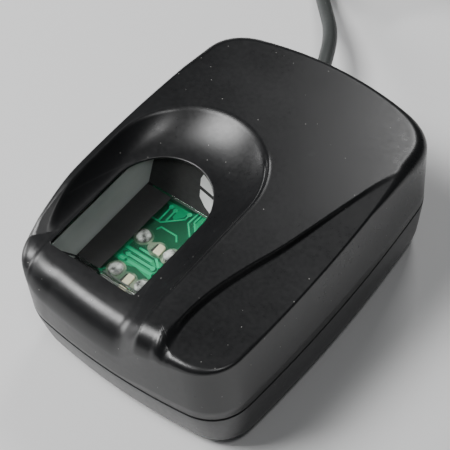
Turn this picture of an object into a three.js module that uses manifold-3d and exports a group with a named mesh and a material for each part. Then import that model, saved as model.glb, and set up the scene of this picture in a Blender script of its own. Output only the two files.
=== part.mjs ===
// A desktop fingerprint scanner: a two-shell plastic housing with a finger channel over a glass prism,
// a lamp board under the prism, a small camera behind it, a main board and a USB lead.
// Millimetres, +Z up, front towards -Y. The origin is on the table under the middle of the housing.
import * as THREE from 'three';
import { mergeVertices } from 'three/addons/utils/BufferGeometryUtils.js';
import Module from 'manifold-3d';

// Housing: its outline is a rounded rectangle with bowed sides, widest at the joint of the two shells.
const HALF_WIDTH = 22.7;
const HALF_LENGTH = 31.5;
const SIDE_BOW = 1.0;
const FRONT_BOW = 1.0;
const BACK_BOW = 1.7;
const CORNER = 7;
const TOP = 25.4;
const JOINT = 11;
const UNDERSIDE = 1;
const WALL = 1.9;
const SHELL_GAP = 0.3;
const CLEARANCE = 0.3;

// Finger channel: a floor that holds the glass window, and walls that curve up to a rim.
const FLOOR = 22;
const FLOOR_X = -9.05;
const WINDOW_RADIUS = 8.75;
const WINDOW_ARCH_Y = -6.5;
const WINDOW_FRONT_Y = -23.3;
const RIM_X = -8.1;
const RIM_ARCH_Y = -1.5;
const RIM_RADIUS = 13.6;
const WINDOW_LIP = 0.45;
const FRONT_ROLL = 4.6;

// Prism and the boards under it.
const PRISM_TOP = FLOOR - WINDOW_LIP - 0.25;
const PRISM_BOTTOM = 7.3;
const LAMP_BOARD_TOP = 6.2;
const BOARD_THICK = 1.2;
const BOARD_TOP = 5.6;

// Lead: a round cable that leaves the back wall and ends in a USB plug.
const CABLE_RADIUS = 1.4;
const EXIT = [-10.6, 31.5, 8.2];
const TIE_THICK = 0.6;
const COIL_CENTRE = [-28, 94];
const COIL_MIDDLE_RADIUS = 16.8;
const COIL_COLUMNS = 4;
const COIL_LAYERS = 4;
const TURN_PITCH = 2.95;
const COIL_START_DEG = 223;

const group = new THREE.Group();
const wasm = await Module();
wasm.setup();

const BLACK = { color: 0x17181a, roughness: 0.35, metalness: 0 };
const RUBBER = { color: 0x202123, roughness: 0.8, metalness: 0 };
const GLASS = { color: 0xcfe0dc, roughness: 0.03, metalness: 0 };
const GREEN = { color: 0x1d8a55, roughness: 0.45, metalness: 0 };
const WHITE = { color: 0xe4e4de, roughness: 0.5, metalness: 0 };
const CERAMIC = { color: 0xd9cfae, roughness: 0.55, metalness: 0 };
const CHIP = { color: 0x1b1b1d, roughness: 0.55, metalness: 0 };
const STEEL = { color: 0xb4b6b8, roughness: 0.3, metalness: 1 };
const BRASS = { color: 0x9c8a5b, roughness: 0.35, metalness: 1 };
const VINYL = { color: 0x2b2d2f, roughness: 0.55, metalness: 0 };

/** Adds one named mesh to the group and returns it. */
function add(name, geometry, look) {
  const mesh = new THREE.Mesh(geometry, new THREE.MeshStandardMaterial(look));
  mesh.name = name;
  group.add(mesh);
  return mesh;
}

/** A geometry as a solid that can be joined and cut. */
function solid(geometry) {
  const bare = geometry.index ? geometry.toNonIndexed() : geometry.clone();
  bare.deleteAttribute('normal');
  bare.deleteAttribute('uv');
  const merged = mergeVertices(bare, 1e-4);
  const vertProperties = merged.attributes.position.array;
  const triVerts = new Uint32Array(merged.index.array);
  return new wasm.Manifold(new wasm.Mesh({ numProp: 3, vertProperties, triVerts }));
}

/** A solid as a geometry again. */
function geometryOf(body) {
  const { vertProperties, triVerts } = body.getMesh();
  const geometry = new THREE.BufferGeometry();
  geometry.setAttribute('position', new THREE.BufferAttribute(vertProperties, 3));
  geometry.setIndex(new THREE.BufferAttribute(triVerts, 1));
  return geometry;
}

/** A box between two corners. */
function block([x0, y0, z0], [x1, y1, z1]) {
  const box = new THREE.BoxGeometry(x1 - x0, y1 - y0, z1 - z0);
  return box.translate((x0 + x1) / 2, (y0 + y1) / 2, (z0 + z1) / 2);
}

/** An upright cylinder from z0 to z1. */
function post(x, y, radius, z0, z1, sides = 20) {
  const cylinder = new THREE.CylinderGeometry(radius, radius, z1 - z0, sides);
  return cylinder.rotateX(Math.PI / 2).translate(x, y, (z0 + z1) / 2);
}

/** A flat outline in the XY plane pushed up from z0 to z1. */
function slab(shape, z0, z1, curveSegments = 8) {
  const options = { depth: z1 - z0, bevelEnabled: false, curveSegments };
  return new THREE.ExtrudeGeometry(shape, options).translate(0, 0, z0);
}

/** An outline in the YZ plane pushed along X from x0 to x1. */
function sideSlab(shape, x0, x1) {
  const geometry = new THREE.ExtrudeGeometry(shape, { depth: x1 - x0, bevelEnabled: false });
  const toSide = new THREE.Matrix4().set(0, 0, 1, x0, 1, 0, 0, 0, 0, 1, 0, 0, 0, 0, 0, 1);
  return geometry.applyMatrix4(toSide);
}

/** A closed skin through level rings of equal point counts, each {points, z}, lowest first. */
function loft(rings) {
  const count = rings[0].points.length;
  const position = rings.flatMap(({ points, z }) => points.flatMap(({ x, y }) => [x, y, z]));
  const index = [];
  for (let ring = 0; ring + 1 < rings.length; ring += 1) {
    for (let i = 0; i < count; i += 1) {
      const a = ring * count + i;
      const b = ring * count + ((i + 1) % count);
      index.push(a, b, b + count, a, b + count, a + count);
    }
  }
  const top = (rings.length - 1) * count;
  for (const [a, b, c] of THREE.ShapeUtils.triangulateShape(rings[0].points, [])) {
    index.push(c, b, a);
  }
  for (const [a, b, c] of THREE.ShapeUtils.triangulateShape(rings.at(-1).points, [])) {
    index.push(top + a, top + b, top + c);
  }
  const geometry = new THREE.BufferGeometry();
  geometry.setAttribute('position', new THREE.Float32BufferAttribute(position, 3));
  geometry.setIndex(index);
  return geometry;
}

// ---------------------------------------------------------------- housing

/** The housing's outline, set in by different amounts at the sides and at the two ends. */
function housingOutline(side, end = side) {
  const x = HALF_WIDTH - SIDE_BOW - side;
  const front = FRONT_BOW - HALF_LENGTH + end;
  const back = HALF_LENGTH - BACK_BOW - end;
  const r = CORNER - 0.6 * Math.max(side, end);
  const middle = (front + back) / 2;
  const shape = new THREE.Shape();
  const ends = [
    { from: [-x + r, front], by: [0, front - 2 * FRONT_BOW], to: [x - r, front] },
    { from: [x, front + r], by: [x + 2 * SIDE_BOW, middle], to: [x, back - r] },
    { from: [x - r, back], by: [0, back + 2 * BACK_BOW], to: [-x + r, back] },
    { from: [-x, back - r], by: [-x - 2 * SIDE_BOW, middle], to: [-x, front + r] },
  ];
  shape.moveTo(...ends[0].from);
  ends.forEach(({ by, to }, i) => {
    const next = ends[(i + 1) % ends.length];
    const leave = new THREE.Vector2(to[0] - by[0], to[1] - by[1]).setLength(0.56 * r);
    const arrive = new THREE.Vector2(next.by[0] - next.from[0], next.by[1] - next.from[1]);
    arrive.setLength(0.56 * r);
    shape.quadraticCurveTo(...by, ...to);
    shape.bezierCurveTo(
      to[0] + leave.x, to[1] + leave.y,
      next.from[0] - arrive.x, next.from[1] - arrive.y,
      ...next.from,
    );
  });
  return shape.getPoints(6).slice(0, -1);
}

/** One level of the finger channel: 0 is its floor, 1 its rim, grown by a margin all round. */
function channelOutline(level, margin) {
  const mix = (a, b) => a + (b - a) * level;
  const x = mix(FLOOR_X, RIM_X);
  const y = mix(WINDOW_ARCH_Y, RIM_ARCH_Y);
  const radius = mix(WINDOW_RADIUS, RIM_RADIUS) + margin;
  const frontX = mix(FLOOR_X - 0.1, RIM_X);
  const frontHalf = mix(10.3, RIM_RADIUS) + margin;
  const front = -HALF_LENGTH - 6;
  const shape = new THREE.Shape();
  shape.moveTo(frontX + frontHalf, front);
  shape.lineTo(x + radius, y);
  shape.absarc(x, y, radius, 0, Math.PI, false);
  shape.lineTo(frontX - frontHalf, front);
  return shape.getPoints(12);
}

/** The space of the finger channel, grown by a margin at its walls and its floor. */
function channelSpace(margin) {
  const rings = [0, 0.3, 0.55, 0.78, 1].map((level) => ({
    points: channelOutline(level, margin),
    z: FLOOR - margin + (TOP - FLOOR) * level ** 1.8,
  }));
  rings.push({ points: channelOutline(1, margin), z: TOP + 6 });
  return solid(loft(rings));
}

/** The space above the lowered facet at the right of the channel, moved down by a margin. */
function facetSpace(margin) {
  const edge = [
    [30, 24], [23.5, 24], [21.2, 19], [19.3, 13.9], [17.9, 9], [16.3, 2.7], [14.5, -4.4],
    [12.4, -10.8], [10.9, -16.4], [10.2, -21.4], [10.2, -26.6], [10.9, -34], [30, -34],
  ];
  const shape = new THREE.Shape(edge.map(([x, y]) => new THREE.Vector2(x - margin, y)).reverse());
  const wedge = slab(shape, 0, 10);
  const slope = 0.036;
  const low = 23.7 - margin;
  const tilt = new THREE.Matrix4();
  tilt.set(1, 0, 0, 0, 0, 1, 0, 0, 0, slope, 1, low + slope * HALF_LENGTH, 0, 0, 0, 1);
  return solid(wedge.applyMatrix4(tilt));
}

/** The space in front of the rounded front edge of the channel floor. */
function frontRollSpace(margin) {
  const y = -HALF_LENGTH + 0.8 + FRONT_ROLL + margin;
  const z = FLOOR - FRONT_ROLL - margin;
  const shape = new THREE.Shape();
  shape.moveTo(y, z + FRONT_ROLL);
  shape.absarc(y, z, FRONT_ROLL, Math.PI / 2, Math.PI, false);
  shape.lineTo(y - FRONT_ROLL - 8, z);
  shape.lineTo(y - FRONT_ROLL - 8, TOP + 4);
  shape.lineTo(y, TOP + 4);
  return solid(sideSlab(shape, -HALF_WIDTH - 3, 2.2));
}

/** The space over the left rim where it falls towards the front. */
function rimFallSpace(margin) {
  const fall = [[-9, TOP], [-18, 24], [-24, 22.3], [-38, 19], [-38, TOP + 4], [-9, TOP + 4]];
  const shape = new THREE.Shape(fall.map(([y, z]) => new THREE.Vector2(y, z - margin)));
  return solid(sideSlab(shape, -HALF_WIDTH - 3, FLOOR_X - 8));
}

const coverScrews = [[15.4, -11.5], [15.4, 11.5], [-16.4, 11.5]];
const CEILING = 24;
const POST_FOOT = 7;
const POST_RADIUS = 2.2;
const HEAD_RADIUS = 2.1;
const SHANK_RADIUS = 0.95;

/** The arched window opening, grown by a margin. */
function windowShape(margin) {
  const radius = WINDOW_RADIUS + margin;
  const shape = new THREE.Shape();
  shape.moveTo(FLOOR_X + radius, WINDOW_FRONT_Y - margin);
  shape.lineTo(FLOOR_X + radius, WINDOW_ARCH_Y);
  shape.absarc(FLOOR_X, WINDOW_ARCH_Y, radius, 0, Math.PI, false);
  shape.lineTo(FLOOR_X - radius, WINDOW_FRONT_Y - margin);
  return shape;
}

/** The prism: flat top, short bottom, and two ground ends that lean in towards the bottom. */
function prismBody(margin) {
  const section = [[-24.2 - margin, PRISM_TOP + margin], [-18.8 - margin, PRISM_BOTTOM - margin],
    [0 + margin, PRISM_BOTTOM - margin], [4 + margin, PRISM_TOP + margin]];
  const shape = new THREE.Shape(section.map(([y, z]) => new THREE.Vector2(y, z)));
  return sideSlab(shape, FLOOR_X - 8.9 - margin, FLOOR_X + 8.9 + margin);
}

function topCover() {
  const draft = 0.3;
  const round = 1.4;
  const outer = [{ points: housingOutline(0), z: JOINT + SHELL_GAP / 2 }];
  for (let step = 0; step <= 4; step += 1) {
    const turn = (step / 4) * (Math.PI / 2);
    const inset = draft + round * (1 - Math.cos(turn));
    outer.push({ points: housingOutline(inset), z: TOP - round * (1 - Math.sin(turn)) });
  }
  const inner = [
    { points: housingOutline(WALL), z: JOINT - 1 },
    { points: housingOutline(WALL + 0.6), z: TOP - 5 },
    { points: housingOutline(WALL + 2.4), z: TOP - WALL },
  ];
  const spaces = [channelSpace, facetSpace, frontRollSpace, rimFallSpace];
  let cavity = solid(loft(inner));
  let cover = solid(loft(outer));
  for (const space of spaces) {
    cover = cover.subtract(space(0));
    cavity = cavity.subtract(space(WALL));
  }
  cover = cover.subtract(cavity);
  cover = cover.subtract(solid(slab(windowShape(0), FLOOR - 6, FLOOR + 2, 12)));
  for (const [x, y] of coverScrews) {
    cover = cover.add(solid(post(x, y, POST_RADIUS, POST_FOOT, CEILING)));
    cover = cover.subtract(solid(post(x, y, SHANK_RADIUS + CLEARANCE, POST_FOOT - 1, 17)));
  }
  return cover.subtract(solid(prismBody(CLEARANCE)));
}

const feet = [[-13.3, -20.6], [13.3, -20.6], [13.3, 20.4], [-13.3, 20.4]];
const FOOT_RADIUS = 4;
const STANDOFF_RADIUS = 1.7;
const mainBoardScrews = [[4.4, -21.5], [15, 17.6]];
const lampBoardScrews = [[-16.6, -19], [-0.6, 0.6]];

function bottomCover() {
  const taper = [
    { side: 2.6, end: 3.5, z: UNDERSIDE },
    { side: 1.4, end: 2.3, z: UNDERSIDE + 0.5 },
    { side: 0.7, end: 1.6, z: UNDERSIDE + 1.7 },
    { side: 0.25, end: 0.65, z: 7 },
    { side: 0, end: 0, z: JOINT - SHELL_GAP / 2 },
  ];
  const outer = taper.map(({ side, end, z }) => ({ points: housingOutline(side, end), z }));
  const inner = [
    { points: housingOutline(WALL + 1.2, WALL + 2.4), z: UNDERSIDE + 2 },
    { points: housingOutline(WALL + 0.4, WALL + 1.2), z: 7 },
    { points: housingOutline(WALL), z: JOINT + 1 },
  ];
  let cover = solid(loft(outer)).subtract(solid(loft(inner)));
  for (const [x, y] of coverScrews) {
    cover = cover.add(solid(post(x, y, POST_RADIUS + 0.5, UNDERSIDE + 1, POST_FOOT - CLEARANCE)));
    cover = cover.subtract(solid(post(x, y, SHANK_RADIUS + CLEARANCE, 0, POST_FOOT)));
    cover = cover.subtract(solid(post(x, y, HEAD_RADIUS + CLEARANCE, 0, 3)));
  }
  for (const [x, y] of feet) {
    cover = cover.subtract(solid(post(x, y, FOOT_RADIUS + CLEARANCE, 0, 1.8)));
  }
  const plate = solid(block([-9, -7, 0], [9, 7, UNDERSIDE + 0.5]));
  cover = cover.subtract(plate);
  for (const [x, y] of mainBoardScrews) {
    cover = cover.add(solid(post(x, y, STANDOFF_RADIUS, 2.6, BOARD_TOP - BOARD_THICK - CLEARANCE)));
    cover = cover.subtract(solid(post(x, y, 0.9, 2.4, BOARD_TOP)));
  }
  for (const [x, y] of lampBoardScrews) {
    cover = cover.add(solid(post(x, y, STANDOFF_RADIUS, 2.6, LAMP_BOARD_TOP - BOARD_THICK - CLEARANCE)));
    cover = cover.subtract(solid(post(x, y, 0.9, 2.4, LAMP_BOARD_TOP)));
  }
  const outlet = new THREE.CylinderGeometry(2.2, 2.2, 8, 20).translate(EXIT[0], EXIT[1] - 1.5, EXIT[2]);
  return cover.subtract(solid(outlet));
}

add('top_cover', geometryOf(topCover()), BLACK);
add('bottom_cover', geometryOf(bottomCover()), BLACK);

/** A pan-head screw pointing up: head, shank and a cross recess. */
function screw(name, x, y, headBottom, headHeight, headRadius, shankRadius, length, look = STEEL) {
  const profile = [
    [0, 0], [headRadius * 0.8, 0], [headRadius, headHeight * 0.35], [headRadius, headHeight],
    [shankRadius, headHeight], [shankRadius, length - 0.8], [0, length],
  ];
  const lathe = new THREE.LatheGeometry(profile.map(([r, z]) => new THREE.Vector2(r, z)), 16);
  lathe.rotateX(Math.PI / 2);
  const slot = headRadius * 0.55;
  const cross = solid(block([-slot, -0.2, -1], [slot, 0.2, headHeight * 0.6]))
    .add(solid(block([-0.2, -slot, -1], [0.2, slot, headHeight * 0.6])));
  const body = solid(lathe).subtract(cross);
  add(name, geometryOf(body).translate(x, y, headBottom), look);
}

coverScrews.forEach(([x, y], i) => {
  screw(`cover_screw_${i + 1}`, x, y, 1.5, 1.2, HEAD_RADIUS, SHANK_RADIUS, 14);
});

feet.forEach(([x, y], i) => {
  const profile = [[0, 0], [FOOT_RADIUS - 0.4, 0], [FOOT_RADIUS, 0.4], [FOOT_RADIUS, 1.5], [0, 1.5]];
  const lathe = new THREE.LatheGeometry(profile.map(([r, z]) => new THREE.Vector2(r, z)), 24);
  add(`rubber_foot_${i + 1}`, lathe.rotateX(Math.PI / 2).translate(x, y, 0), RUBBER);
});

add('rating_plate', block([-8.6, -6.6, UNDERSIDE + 0.05], [8.6, 6.6, UNDERSIDE + 0.2]), STEEL);

// ---------------------------------------------------------------- optics

add('prism', prismBody(0), GLASS);

/** The holder: a frame around the prism at half height, on four legs outside the lamp board. */
function prismCradle() {
  let frame = solid(block([-19.3, -23, 9.5], [1.8, 4.2, 12.5]));
  frame = frame.subtract(solid(prismBody(CLEARANCE)));
  for (const x of [-17.2, -0.8]) {
    for (const y of [-22.2, 3.4]) {
      frame = frame.add(solid(block([x - 0.8, y - 0.8, 3.3], [x + 0.8, y + 0.8, 9.6])));
    }
  }
  return geometryOf(frame);
}
add('prism_cradle', prismCradle(), CHIP);

/** The black gasket: a thin frame under the channel floor around the prism's edges. */
function gasket() {
  const outer = solid(block([-18.8, -23.7, 16.6], [0.8, 4.1, 17.6]));
  return geometryOf(outer.subtract(solid(prismBody(0.2))));
}
add('prism_gasket', gasket(), RUBBER);

add('lamp_board', geometryOf(lampBoard()), GREEN);

function lampBoard() {
  let board = solid(block([-17.6, -20.4, LAMP_BOARD_TOP - BOARD_THICK], [0.4, 1.8, LAMP_BOARD_TOP]));
  for (const [x, y] of lampBoardScrews) {
    board = board.subtract(solid(post(x, y, 0.95, 0, 10, 12)));
  }
  return board;
}

const lamps = [[-11.35, -16.5], [-5.5, -16.8], [-11.8, -8.75], [-5.5, -9.4]];
lamps.forEach(([x, y], i) => {
  const profile = [[0, 0], [1.3, 0], [1.3, 0.35], [0.9, 0.6], [0, 0.7]];
  const lathe = new THREE.LatheGeometry(profile.map(([r, z]) => new THREE.Vector2(r, z)), 20);
  add(`round_lamp_${i + 1}`, lathe.rotateX(Math.PI / 2).translate(x, y, LAMP_BOARD_TOP + 0.1), WHITE);
});

const chipLamps = [[-8.4, -17], [-8.05, -9.5]];
chipLamps.forEach(([x, y], i) => {
  const chip = new THREE.BoxGeometry(1.6, 2, 0.6).translate(x, y, LAMP_BOARD_TOP + 0.4);
  add(`chip_lamp_${i + 1}`, chip, CERAMIC);
});

add('light_diffuser', block([0.3, -19, 7.5], [0.9, 1.2, 9.1]), WHITE);

// The camera that looks at the prism's back face: a sensor on an upright board, and its lens.
const CAMERA_X = -9;
const CAMERA_Z = 13;
const SENSOR_BOARD_Y = 21.6;

add('sensor_board', block([-13.4, SENSOR_BOARD_Y, 4.6], [-0.5, SENSOR_BOARD_Y + BOARD_THICK, 19]), GREEN);
add('image_sensor', block(
  [CAMERA_X - 3, SENSOR_BOARD_Y - 1.1, CAMERA_Z - 3],
  [CAMERA_X + 3, SENSOR_BOARD_Y - 0.2, CAMERA_Z + 3],
), CHIP);

function lensHolder() {
  const back = SENSOR_BOARD_Y - CLEARANCE;
  const box = solid(block([CAMERA_X - 4.4, 12, CAMERA_Z - 5], [CAMERA_X + 4.4, back, CAMERA_Z + 5]));
  const half = 3.5;
  const low = [CAMERA_X - half, back - 2, CAMERA_Z - half];
  const high = [CAMERA_X + half, back + 1, CAMERA_Z + half];
  const pocket = solid(block(low, high));
  const bore = new THREE.CylinderGeometry(3.6, 3.6, 30, 24).translate(CAMERA_X, 15, CAMERA_Z);
  return geometryOf(box.subtract(solid(bore)).subtract(pocket));
}
add('lens_holder', lensHolder(), CHIP);

/** A tube about the Y axis from y0 to y1. */
function yTube(inner, outer, y0, y1) {
  const profile = [[inner, y0], [outer, y0], [outer, y1], [inner, y1], [inner, y0]];
  return new THREE.LatheGeometry(profile.map(([r, y]) => new THREE.Vector2(r, y)), 24);
}
add('lens_barrel', yTube(2.2, 3.3, 8.5, 18).translate(CAMERA_X, 0, CAMERA_Z), BRASS);

const lensProfile = [[0, 9.4], [0.8, 9.48], [1.4, 9.7], [1.9, 10.1], [1.9, 11], [0, 11]];
const lens = new THREE.LatheGeometry(lensProfile.map(([r, y]) => new THREE.Vector2(r, y)), 24);
add('lens', lens.translate(CAMERA_X, 0, CAMERA_Z), GLASS);

// ---------------------------------------------------------------- main board

function mainBoard() {
  let board = solid(block([2.4, -24.2, BOARD_TOP - BOARD_THICK], [17.6, 20.5, BOARD_TOP]));
  for (const [x, y] of mainBoardScrews) {
    board = board.subtract(solid(post(x, y, 0.95, 0, 10, 12)));
  }
  for (const [x, y] of coverScrews) {
    board = board.subtract(solid(post(x, y, POST_RADIUS + 0.9, 0, 20)));
  }
  return geometryOf(board);
}
add('main_board', mainBoard(), GREEN);

/** A board part that stands on the main board. */
function onBoard(name, x, y, width, length, height, look) {
  const z = BOARD_TOP + 0.15;
  add(name, block([x - width / 2, y - length / 2, z], [x + width / 2, y + length / 2, z + height]), look);
}
onBoard('usb_controller', 9.5, -4, 7, 7, 1.1, CHIP);
onBoard('flash_memory', 9.5, 4.5, 5, 6, 1.5, CHIP);
onBoard('crystal', 11.2, -20, 9, 3.4, 2.6, STEEL);
onBoard('voltage_regulator', 15.2, 3, 3.4, 6, 1.6, CHIP);
onBoard('board_link', 4.2, -13, 2.4, 9, 2.6, WHITE);
onBoard('cable_socket', 8.4, 14.4, 7.6, 4.2, 3.4, WHITE);
add('cable_connector', block([5.4, 16.8, BOARD_TOP + 0.5], [11.4, 19.2, BOARD_TOP + 3]), WHITE);

const boardScrews = [
  ...mainBoardScrews.map((at) => [...at, BOARD_TOP]),
  ...lampBoardScrews.map((at) => [...at, LAMP_BOARD_TOP]),
];
boardScrews.forEach(([x, y, top], i) => {
  const profile = [[0, -3], [0.6, -2.6], [0.6, 0], [1.5, 0], [1.5, 0.3], [1.1, 0.6], [0, 0.6]];
  const lathe = new THREE.LatheGeometry(profile.map(([r, z]) => new THREE.Vector2(r, z)), 16);
  lathe.rotateX(Math.PI / 2).translate(x, y, top + 0.15);
  add(`board_screw_${i + 1}`, lathe, STEEL);
});

// ---------------------------------------------------------------- lead

/** A tube of the cable's thickness along a smooth curve through the points. */
function tube(points, radius, steps) {
  const vectors = points.map((p) => new THREE.Vector3(...p));
  const route = new THREE.CatmullRomCurve3(vectors, false, 'centripetal');
  const section = new THREE.Shape();
  for (let i = 0; i < 8; i += 1) {
    const turn = (i / 8) * 2 * Math.PI;
    const corner = [radius * Math.cos(turn), radius * Math.sin(turn)];
    if (i === 0) {
      section.moveTo(...corner);
    } else {
      section.lineTo(...corner);
    }
  }
  return new THREE.ExtrudeGeometry(section, { steps, extrudePath: route });
}

// The boot: a tapered rubber sleeve held in the back wall by a flange inside it.
const BOOT_LENGTH = 7;
const BOOT_BORE = CABLE_RADIUS + 0.3;
const bootProfile = [
  [BOOT_BORE, -5.1], [2.5, -5.1], [2.5, -4.7], [1.9, -4.7], [1.9, -0.6],
  [2.5, -0.6], [2.5, 0.6], [BOOT_BORE + 0.35, BOOT_LENGTH], [BOOT_BORE, BOOT_LENGTH], [BOOT_BORE, -5.1],
];
const boot = new THREE.LatheGeometry(bootProfile.map(([r, y]) => new THREE.Vector2(r, y)), 24);
add('cable_boot', boot.translate(...EXIT), RUBBER);

const innerRoute = [
  [EXIT[0], 27.6, EXIT[2]], [EXIT[0], 26.2, EXIT[2]], [-9.4, 24.8, 8.2], [-5, 24.4, 8], [1, 24.4, 7.6],
  [6.2, 23.8, 7.3], [8.4, 21.8, 7.2], [8.4, 19.5, 7.2],
];
add('inner_lead', tube(innerRoute, 1.0, 12), VINYL);

const route = [
  [EXIT[0], EXIT[1] - 3, EXIT[2]], [EXIT[0], EXIT[1] + 2, EXIT[2]], [EXIT[0], 37.5, EXIT[2]],
  [-11.2, 40.4, 8.2], [-12.6, 43.4, 7.9], [-14.9, 47.9, 7.0], [-17.0, 51.2, 6.0], [-19.2, 54.0, 4.9],
  [-22.0, 57.0, 3.7], [-25.6, 60.7, 2.5], [-29.6, 64.9, 1.8], [-33.0, 68.4, 1.7],
];
add('usb_cable', tube(route, CABLE_RADIUS, 14), VINYL);

// The coil: spirals of turns laid on each other, here as the ring that holds them all.
const coilWide = (COIL_COLUMNS - 1) * TURN_PITCH / 2 + CABLE_RADIUS;
const coilLow = TIE_THICK + 0.25;
const coilHigh = coilLow + (COIL_LAYERS - 1) * TURN_PITCH + 2 * CABLE_RADIUS;
const ringProfile = [
  [COIL_MIDDLE_RADIUS - coilWide, coilLow], [COIL_MIDDLE_RADIUS + coilWide, coilLow],
  [COIL_MIDDLE_RADIUS + coilWide, coilHigh], [COIL_MIDDLE_RADIUS - coilWide, coilHigh],
  [COIL_MIDDLE_RADIUS - coilWide, coilLow],
];
const ring = new THREE.LatheGeometry(ringProfile.map(([r, z]) => new THREE.Vector2(r, -z)).reverse(), 36);
add('cable_coil', ring.rotateX(-Math.PI / 2).translate(...COIL_CENTRE, 0), VINYL);

/** The tie: a flat strap closed round the coil's turns. */
function tie() {
  const low = coilLow - 0.2;
  const high = coilHigh + 0.2;
  const near = COIL_MIDDLE_RADIUS - coilWide - 0.2;
  const far = COIL_MIDDLE_RADIUS + coilWide + 0.4;
  const outside = block([near - TIE_THICK, -2, low - TIE_THICK], [far + TIE_THICK, 2, high + TIE_THICK]);
  const hole = solid(block([near, -3, low], [far, 3, high]));
  return geometryOf(solid(outside).subtract(hole));
}
const tieMesh = add('cable_tie', tie(), RUBBER);
tieMesh.rotation.z = THREE.MathUtils.degToRad(300);
tieMesh.position.set(...COIL_CENTRE, 0);

// The plug lies on the coil. Its group turns with the coil's start, and X runs along the plug.
const PLUG_DEG = COIL_START_DEG - 215;
const plug = new THREE.Group();
plug.rotation.z = THREE.MathUtils.degToRad(PLUG_DEG);
plug.position.set(...COIL_CENTRE, coilHigh + CLEARANCE);
group.add(plug);

/** Adds a mesh to the plug's own group. */
function addToPlug(name, geometry, look) {
  plug.add(add(name, geometry, look));
}
const PLUG_Z = 4;
const PLUG_Y = -1;
const SLEEVE_START = -10;
const BODY_START = 1;
const BODY_END = 19;
const SHELL_END = 31;

const tail = [
  [-17.8, -12.0, 1.6], [-20.4, -7.6, 1.6], [-19.4, -3.2, 1.9], [-15.6, -1.2, 2.6], [-10.4, -1, 3.2],
];
addToPlug('usb_cable_tail', tube(tail, CABLE_RADIUS, 8), VINYL);

/** A block along the plug's middle line from x0 to x1. */
function alongPlug(x0, x1, halfWidth, halfHeight) {
  const low = [x0, PLUG_Y - halfWidth, PLUG_Z - halfHeight];
  const high = [x1, PLUG_Y + halfWidth, PLUG_Z + halfHeight];
  return block(low, high);
}

function plugOvermould() {
  const sleeve = new THREE.CylinderGeometry(2.6, 1.8, BODY_START - SLEEVE_START + 0.5, 16);
  sleeve.rotateZ(-Math.PI / 2).rotateY(0.07);
  sleeve.translate((SLEEVE_START + BODY_START) / 2 + 0.2, PLUG_Y, PLUG_Z - 0.4);
  const body = block([BODY_START, PLUG_Y - 7.5, 0], [BODY_END, PLUG_Y + 7.5, 2 * PLUG_Z]);
  const socket = alongPlug(BODY_END - 6, BODY_END + 1, 6.3, 2.6);
  return geometryOf(solid(body).add(solid(sleeve)).subtract(solid(socket)));
}
addToPlug('plug_overmould', plugOvermould(), VINYL);

function plugShell() {
  const outer = solid(alongPlug(BODY_END - 5.6, SHELL_END, 6, 2.25));
  const inner = solid(alongPlug(BODY_END - 7, SHELL_END + 1, 5.7, 1.95));
  let shell = outer.subtract(inner);
  for (const y of [-2.6, 2.6]) {
    const hole = block([SHELL_END - 6.5, PLUG_Y + y - 1.25, -2], [SHELL_END - 4, PLUG_Y + y + 1.25, 12]);
    shell = shell.subtract(solid(hole));
  }
  return geometryOf(shell);
}
addToPlug('plug_shell', plugShell(), STEEL);
const tongueLow = [BODY_END - 5, PLUG_Y - 5.4, PLUG_Z - 1.65];
const tongueHigh = [SHELL_END - 0.6, PLUG_Y + 5.4, PLUG_Z + 0.1];
addToPlug('plug_tongue', block(tongueLow, tongueHigh), WHITE);

for (let i = 0; i < 4; i += 1) {
  const y = PLUG_Y + [-3.5, -1, 1, 3.5][i];
  const contact = block([BODY_END - 2, y - 0.5, PLUG_Z + 0.35], [SHELL_END - 1.4, y + 0.5, PLUG_Z + 0.6]);
  addToPlug(`plug_contact_${i + 1}`, contact, BRASS);
}

export default group;
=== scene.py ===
import bpy
import numpy as np
from mathutils import Matrix, Vector


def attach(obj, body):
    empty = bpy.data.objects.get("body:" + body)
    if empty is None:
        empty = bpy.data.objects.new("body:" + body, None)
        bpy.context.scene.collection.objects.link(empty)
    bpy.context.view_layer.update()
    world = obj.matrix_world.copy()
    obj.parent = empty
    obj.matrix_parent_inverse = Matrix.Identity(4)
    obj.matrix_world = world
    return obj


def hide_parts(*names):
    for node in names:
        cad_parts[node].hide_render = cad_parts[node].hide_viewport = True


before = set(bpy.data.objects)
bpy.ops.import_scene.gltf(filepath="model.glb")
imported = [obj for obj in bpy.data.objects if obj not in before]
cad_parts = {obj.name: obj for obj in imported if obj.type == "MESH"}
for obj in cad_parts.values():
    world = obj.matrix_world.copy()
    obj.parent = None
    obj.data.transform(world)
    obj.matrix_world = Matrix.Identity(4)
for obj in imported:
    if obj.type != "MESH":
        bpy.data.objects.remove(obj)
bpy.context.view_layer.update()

# --- The view -------------------------------------------------------------------------------
# The eye looks down on the reader from its front right corner, with a long lens, and the head
# is tilted a little, so that the housing's long sides run up to the right.
AZIMUTH, ELEVATION, ROLL = np.radians([43.43, 52.77, -6.59])
EYE_DISTANCE = 0.25422
LOOK_AT = np.array([-0.00339, 0.00218, 0.010])
back = np.array([
    np.sin(AZIMUTH) * np.cos(ELEVATION),
    -np.cos(AZIMUTH) * np.cos(ELEVATION),
    np.sin(ELEVATION),
])
level = np.array([np.cos(AZIMUTH), np.sin(AZIMUTH), 0.0])
upright = np.cross(back, level)
right = np.cos(ROLL) * level + np.sin(ROLL) * upright
up = np.cross(back, right)
eye = bpy.data.objects.new("eye", bpy.data.cameras.new("eye"))
bpy.context.collection.objects.link(eye)
eye.data.lens = 120.66
eye.data.sensor_width = 36.0
eye.data.clip_start = 0.01
place = Matrix(np.column_stack([right, up, back]).tolist()).to_4x4()
place.translation = Vector(LOOK_AT + EYE_DISTANCE * back)
eye.matrix_world = place
bpy.context.scene.camera = eye

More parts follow.
